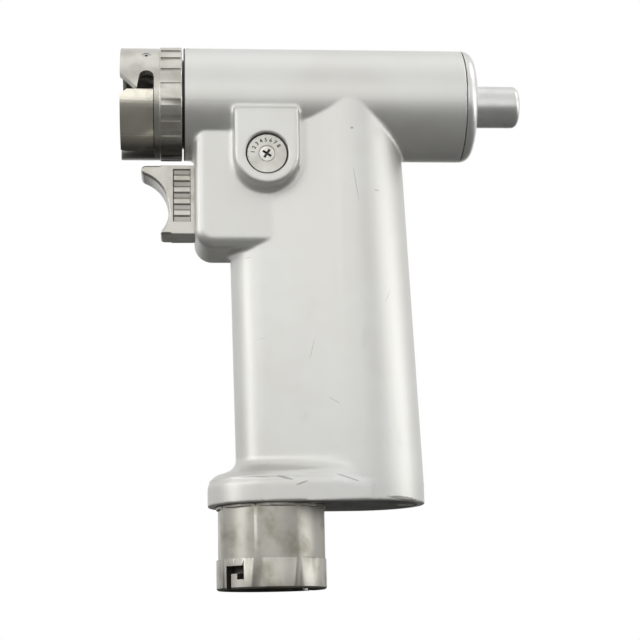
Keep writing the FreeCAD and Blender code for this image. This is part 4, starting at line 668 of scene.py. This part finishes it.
def spread_out(share, edges, counts, rounds):
    """Let a share of 1 fade out over the next points."""
    for _ in range(rounds):
        around = neighbour_mean(share[:, None], edges, counts)[:, 0]
        share = np.maximum(share, around)
    return share


def normals_of(mesh, points):
    """Write the points to the mesh and read its new normals."""
    mesh.vertices.foreach_set("co", points.ravel())
    mesh.update()
    normals = np.empty(points.size)
    mesh.vertices.foreach_get("normal", normals)
    return normals.reshape(-1, 3)


print("nets are ready")

# %% [markdown]
# ## A fuller toe
# The solid's flare at the grip's lower end is hollow in profile; the casting's is
# thick and round. The plan of grip and toe is a pair of circles with straight
# flanks, one in front and one behind. `FLARE` lists, by height, how much of the
# way from grip to toe the solid has gone and how much the casting has; the
# skin's points are pushed out by the difference.

# %% Fill the toe
# height above the toe's underside (mm), share in the solid, share on the casting
FLARE = [(0.0, 1.0, 1.0), (6.0, 1.0, 1.0), (8.15, 0.45, 0.95), (9.9, 0.2, 0.7),
         (11.0, 0.14, 0.36), (12.2, 0.06, 0.1), (13.6, 0.0, 0.0)]
TOE_BOTTOM, TOE_X, TOE_REACH = -136.6, 48.6, 20.4
GRIP_X, GRIP_REACH, HEEL_X, HEEL_REACH = 50.5, 13.0, 77.8, 20.9
SKIN_DEPTH = 0.8


def fill_toe(points):
    """Push the flare out to the casting's thicker, rounder toe."""
    height = points[:, 2] / MM - TOE_BOTTOM
    steps, solid, cast = np.array(FLARE).T
    here = np.interp(height, steps, solid)
    share = np.interp(height, steps, cast) - here
    share[height < 0] = 0.0
    centre = GRIP_X + (TOE_X - GRIP_X) * here
    radius = GRIP_REACH + (TOE_REACH - GRIP_REACH) * here
    slope = np.clip((radius - HEEL_REACH) / (HEEL_X - centre), -1, 1)
    x, y = points[:, 0] / MM, points[:, 1] / MM
    turn = np.arctan2(y, x - centre)
    on_round = np.cos(turn) < slope
    across = np.where(on_round, np.cos(turn), slope)
    side = np.where(on_round, np.sin(turn), np.sign(y) * np.sqrt(1 - across ** 2))
    along = np.clip((x - centre - radius * slope) / (HEEL_X - centre), 0, 1)
    outside = (x - centre) * across + y * side - radius
    skin = np.clip(1.0 + outside / SKIN_DEPTH, 0, 1)
    push = ((TOE_X - GRIP_X) * across + TOE_REACH - GRIP_REACH) * share * (1 - along) * skin
    points[:, 0] += push * across * MM
    points[:, 1] += push * side * MM


print("flare", len(FLARE), "steps over", FLARE[-1][0], "mm")

# %% [markdown]
# ## The cast skin of the housing
# On the real casting the barrel, grip, trigger housing and boss flow into each
# other with soft inside corners. The solid has sharp ones. A light smoothing
# takes the net's steps out, and then only the inside corners are smoothed again
# and again until they are round. The barrel's machined ends, the trigger's
# pocket, the bores and the toe's rim keep their shape.

# %% Round the inside corners
BARREL_ENDS, END_BAND = (0.0209, 0.1152), 0.0012
POCKET_SIDE, POCKET_REAR, POCKET_BOTTOM, POCKET_TOP = 0.0072, 0.037, -0.049, -0.0205
TOE_RIM = -0.1358
BORE_RADIUS = 0.0172
CORNER_PULL, CORNER_NET = 0.02, 0.4  # mm: what counts as a corner on a net of this size


def machined_places(points):
    """Mask of the barrel's ends and of the trigger's pocket."""
    x, y, z = points.T
    front, rear = BARREL_ENDS
    ends = (np.abs(x - front) < END_BAND) | (np.abs(x - rear) < END_BAND)
    pocket = ((np.abs(y) < POCKET_SIDE) & (x < POCKET_REAR)
              & (z > POCKET_BOTTOM) & (z < POCKET_TOP))
    return ends | pocket


def cast_skin(label, voxel, corner_rounds, triangles):
    """Remeshed copy of a casting with soft inside corners."""
    mesh, points, edges, counts = net_of(label, voxel)
    net = (edges, counts)
    fill_toe(points)
    kept = machined_places(points)
    calm = np.where(kept | (points[:, 2] < TOE_RIM), 0.08, 0.5)[:, None]
    relax(points, *net, 5, calm)
    normals = normals_of(mesh, points)
    pull = ((neighbour_mean(points, *net) - points) * normals).sum(axis=1)
    corner = (pull > CORNER_PULL * voxel * MM / CORNER_NET).astype(float)
    kept |= np.hypot(points[:, 1], points[:, 2]) < BORE_RADIUS
    corner[kept] = 0.0
    weight = np.clip(spread_out(corner, *net, 5) * 1.6, 0.0, 1.0)[:, None]
    weight[kept] = 0.0
    relax(points, *net, corner_rounds, weight, 0.6)
    normals_of(mesh, points)
    rough = bpy.data.objects.new(label + "_smooth", mesh)
    scene.collection.objects.link(rough)
    fewer = rough.modifiers.new("fewer", "DECIMATE")
    mesh.calc_loop_triangles()
    fewer.ratio = min(1.0, triangles / len(mesh.loop_triangles))
    skin = baked(rough, label + "_skin")
    skin.shade_smooth()
    print(label, "net", len(points), "skin faces", len(skin.polygons))
    return skin


housing_skin = cast_skin("body_housing", 0.42, 24, 185000)
stand_for(housing_skin, "body_housing", "cast_housing")

# %% [markdown]
# ## A trigger worn by fingers
# The trigger's front, its lower edge and its upper lip are worn round where a
# finger runs over them. Wear fades out towards the middle and stops before the
# ribbed panels. The tail inside the pocket only loses its sharp corners.

# %% Wear the trigger
FINGER_LIP_REAR = 0.013
PANEL_EDGE = 0.0168
TAIL_START = 0.0268
WORN_BAND = 1.8  # mm in from each side
WEAR_FADE = 1.2  # mm


def worn_trigger(voxel, rounds):
    """The trigger with its finger edges worn round; the ribbed panels stay crisp."""
    mesh, points, edges, counts = net_of("trigger", voxel)
    net = (edges, counts)
    normals = normals_of(mesh, points)
    half = np.abs(points[:, 1]).max()
    faces_finger = ((normals[:, 0] < -0.35) | (normals[:, 2] < -0.5)
                    | ((normals[:, 2] > 0.5) & (points[:, 0] < FINGER_LIP_REAR)))
    wear = spread_out(faces_finger.astype(float), *net, int(WEAR_FADE / voxel))
    weight = np.clip(wear * 2.0, 0.0, 1.0)[:, None]
    weight[(np.abs(points[:, 1]) < half - WORN_BAND * MM)
           | (points[:, 0] > PANEL_EDGE)] = 0.0
    relax(points, *net, rounds, weight, 0.6)
    tail = (points[:, 0] > TAIL_START)[:, None] * 0.5
    relax(points, *net, rounds // 6, tail)
    normals_of(mesh, points)
    mesh.shade_smooth()
    mesh.set_sharp_from_angle(angle=math.radians(50))
    print("trigger net", len(points), "worn points", int((weight > 0).sum()))
    return mesh


trigger_skin = worn_trigger(0.2, 40)
stand_for(trigger_skin, "trigger", "worn_trigger")

# %% [markdown]
# ## The return spring
# The return spring sits between the trigger and the housing. It stays with the
# housing. A merged copy of it is shaded smooth and given its own mesh.

# %% A smooth copy of the spring
spring = stand_for(merged_copy("trigger_spring"), "trigger_spring", "pressed_spring")
spring.data.shade_smooth()
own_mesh(spring)

# %% [markdown]
# ## Numbers on the dial
# The dial carries plain engraved numbers near its edge, with a short line for
# each step. The numbers are text turned into thin inlays, placed round the
# dial's middle; they turn with it.

# %% Place of the dial
dial_low, dial_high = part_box("speed_dial")
dial_middle = (dial_low + dial_high) / 2
dial_face = dial_low.y
dial_reach = (dial_high.x - dial_low.x) / 2
print("dial", round(dial_reach / MM, 2), "mm at", [round(v / MM, 2) for v in dial_middle])


# %% Numbers
FACE_GAP = 0.000005
UPRIGHT = Euler((math.radians(90), 0, 0)).to_matrix().to_4x4()


def digit_mesh(digit, height):
    """One digit as a thin flat mesh."""
    text = bpy.data.curves.new("digit", "FONT")
    text.body = digit
    text.size = height
    text.align_x = "CENTER"
    text.align_y = "CENTER"
    text.extrude = 0.00001
    text.offset = 0.00005
    text.resolution_u = 3
    letter = bpy.data.objects.new("digit", text)
    scene.collection.objects.link(letter)
    bpy.context.view_layer.update()
    mesh = bpy.data.meshes.new_from_object(letter)
    bpy.data.objects.remove(letter)
    return mesh


def on_the_dial(name, mesh):
    """An object for a mesh that turns with the dial."""
    piece = bpy.data.objects.new(name, mesh)
    scene.collection.objects.link(piece)
    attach(piece, "dial")
    return piece


def dial_numbers(digits, start, step, radius, height):
    """Thin inlays of digits round the dial's middle."""
    made = bmesh.new()
    for index, digit in enumerate(digits):
        mesh = digit_mesh(digit, height)
        angle = math.radians(start + step * index)
        centre = Vector((dial_middle.x + radius * math.sin(angle), dial_face - FACE_GAP,
                         dial_middle.z + radius * math.cos(angle)))
        mesh.transform(Matrix.Translation(centre) @ Matrix.Rotation(angle, 4, "Y") @ UPRIGHT)
        made.from_mesh(mesh)
    result = bpy.data.meshes.new("dial_numbers")
    made.to_mesh(result)
    made.free()
    result.materials.append(INK)
    return on_the_dial("dial_numbers", result)


numbers = dial_numbers("12345678", start=-84.0, step=20.0, radius=0.0046, height=0.0018)
print("number faces", len(numbers.data.polygons))


# %% [markdown]
# ## Lines on the dial
# The lines are one thin bar, repeated on an arc by Geometry Nodes. The group's
# inputs have names, and the values are set through their identifiers.


# %% A bar repeated on an arc
def arc_marks_tree():
    """One thin bar, repeated on an arc in the dial's plane."""
    tree = bpy.data.node_groups.new("arc_marks", "GeometryNodeTree")
    face = tree.interface
    for name, kind in (("Count", "Int"), ("Radius", "Float"), ("Start Angle", "Float"),
                       ("Sweep Angle", "Float"), ("Bar Length", "Float"),
                       ("Bar Width", "Float"), ("Finish", "Material")):
        face.new_socket(name, in_out="INPUT", socket_type="NodeSocket" + kind)
    face.new_socket("Geometry", in_out="OUTPUT", socket_type="NodeSocketGeometry")
    source, result, arc, points, bar, size, place, real, paint = (
        tree.nodes.new(kind) for kind in (
            "NodeGroupInput", "NodeGroupOutput", "GeometryNodeCurveArc",
            "GeometryNodeCurveToPoints", "GeometryNodeMeshCube", "ShaderNodeCombineXYZ",
            "GeometryNodeInstanceOnPoints", "GeometryNodeRealizeInstances",
            "GeometryNodeSetMaterial"))
    arc.mode = "RADIUS"
    points.mode = "COUNT"
    size.inputs["Z"].default_value = 0.00002
    for giver, output, taker, socket in (
            (source, "Count", points, "Count"), (source, "Radius", arc, "Radius"),
            (source, "Start Angle", arc, "Start Angle"),
            (source, "Sweep Angle", arc, "Sweep Angle"),
            (source, "Bar Width", size, "X"), (source, "Bar Length", size, "Y"),
            (size, "Vector", bar, "Size"), (arc, "Curve", points, "Curve"),
            (points, "Points", place, "Points"), (bar, "Mesh", place, "Instance"),
            (points, "Rotation", place, "Rotation"),
            (place, "Instances", real, "Geometry"), (real, "Geometry", paint, "Geometry"),
            (source, "Finish", paint, "Material"), (paint, "Geometry", result, "Geometry")):
        tree.links.new(giver.outputs[output], taker.inputs[socket])
    return tree


def grown(tree, name, values):
    """Run a tree with named inputs and return its plain mesh."""
    holder = bpy.data.objects.new(name, bpy.data.meshes.new(name))
    scene.collection.objects.link(holder)
    modifier = holder.modifiers.new("grow", "NODES")
    modifier.node_group = tree
    for item in tree.interface.items_tree:
        if item.in_out == "INPUT" and item.name in values:
            modifier[item.identifier] = values[item.name]
    return baked(holder, name)


ARC_START, ARC_SWEEP = math.radians(43.0), math.radians(165.0)
lines = grown(arc_marks_tree(), "dial_lines", {
    "Count": 11, "Radius": 0.0062, "Start Angle": ARC_START, "Sweep Angle": ARC_SWEEP,
    "Bar Length": 0.0009, "Bar Width": 0.00016, "Finish": INK})
lines.transform(Matrix.Translation(Vector((dial_middle.x, dial_face - FACE_GAP,
                                           dial_middle.z))) @ UPRIGHT)
on_the_dial("dial_lines", lines)
print("dial lines", len(lines.polygons) // 6)

# %% [markdown]
# ## Floor
# The floor is pale and stands under the coupling. The picture's camera looks up
# from below the floor's level, so the floor lets it see through from underneath.
# A share of its own light keeps it pale for the camera; the metal sees little of
# that share, so undersides fall off to grey.

# %% Floor
FLOOR_GAP = 0.0002
FLOOR_REACH = 0.9
OWN_LIGHT, OWN_LIGHT_IN_METAL = 0.55, 0.02

floor_z = cad_low.z - FLOOR_GAP
floor_mesh = bpy.data.meshes.new("floor")
floor_mesh.from_pydata([(x * FLOOR_REACH, y * FLOOR_REACH, floor_z)
                        for x, y in ((-1, -1), (1, -1), (1, 1), (-1, 1))], [], [(0, 1, 2, 3)])
floor = bpy.data.objects.new("floor", floor_mesh)
scene.collection.objects.link(floor)

paint = Finish("pale_floor")
paint.surface(Base_Color=linear(158, 158, 156), Roughness=0.9)
seen_share = (paint.add("ShaderNodeLightPath", out="Is Camera Ray") * OWN_LIGHT
              + paint.add("ShaderNodeLightPath", out="Is Glossy Ray") * OWN_LIGHT_IN_METAL)
pale = paint.add("ShaderNodeMixShader", None, seen_share,
                 Signal(paint, paint.shader.outputs[0]), paint.add("ShaderNodeEmission"))
from_below = paint.add("ShaderNodeNewGeometry", out="Backfacing")
both_sides = paint.add("ShaderNodeMixShader", None, from_below, pale,
                       paint.add("ShaderNodeBsdfTransparent"))
paint.feed(paint.tree.nodes["Material Output"].inputs[0], both_sides)
floor_mesh.materials.append(paint.material)
print("floor at", round(floor_z / MM, 1), "mm")

# %% [markdown]
# ## A white room
# The room is white for the camera, in reflections and through clear things, and
# nearly dark as a source of light, so that the lamps alone shape the drill.

# %% Room
DARK_ROOM, WHITE_ROOM = 0.02, 1.0

world = bpy.data.worlds.new("studio")
scene.world = world
world.use_nodes = True
room = Nodes(world.node_tree)
background = room.tree.nodes["Background"]
background.inputs["Color"].default_value = (1.0, 1.0, 1.0, 1.0)
seen = room.add("ShaderNodeLightPath", out="Is Camera Ray")
for ray in ("Is Glossy Ray", "Is Transmission Ray"):
    seen = seen.math("MAXIMUM", room.add("ShaderNodeLightPath", out=ray))
level = room.add("ShaderNodeMapRange", None, seen, To_Min=DARK_ROOM, To_Max=WHITE_ROOM)
room.feed(background.inputs["Strength"], level)
print("room strength", DARK_ROOM, "to", WHITE_ROOM)

# %% [markdown]
# ## Lamps
# The drill is lit as in a catalogue picture: soft round panels stand in front, at
# both ends and above. Nothing lights it from below.


# %% Lamps
def soft_light(name, place, target, size, power):
    """A round panel in metres and watts that faces a target."""
    lamp = bpy.data.lights.new(name, "AREA")
    lamp.shape = "DISK"
    lamp.size = size
    lamp.energy = power
    item = bpy.data.objects.new(name, lamp)
    item.location = place
    item.rotation_euler = (Vector(target) - Vector(place)).to_track_quat("-Z", "Y").to_euler()
    scene.collection.objects.link(item)


GRIP_MIDDLE = (0.05, 0.0, -0.06)
for name, place, size, power in (
        ("front_panel", (0.05, -1.0, 0.15), 0.8, 1.05),
        ("nose_front_panel", (-0.6, -0.8, 0.3), 0.5, 1.15),
        ("nose_panel", (-0.8, -0.25, 0.1), 0.4, 1.2),
        ("rear_panel", (0.85, -0.35, 0.15), 0.5, 0.7),
        ("rear_side_panel", (0.95, -0.05, 0.0), 0.4, 0.8),
        ("rear_top_panel", (0.7, -0.1, 0.6), 0.4, 1.2),
        ("sky_panel", (0.05, -0.1, 0.9), 0.8, 0.75)):
    soft_light(name, place, GRIP_MIDDLE, size, power)
print("lamps", len(bpy.data.lights))
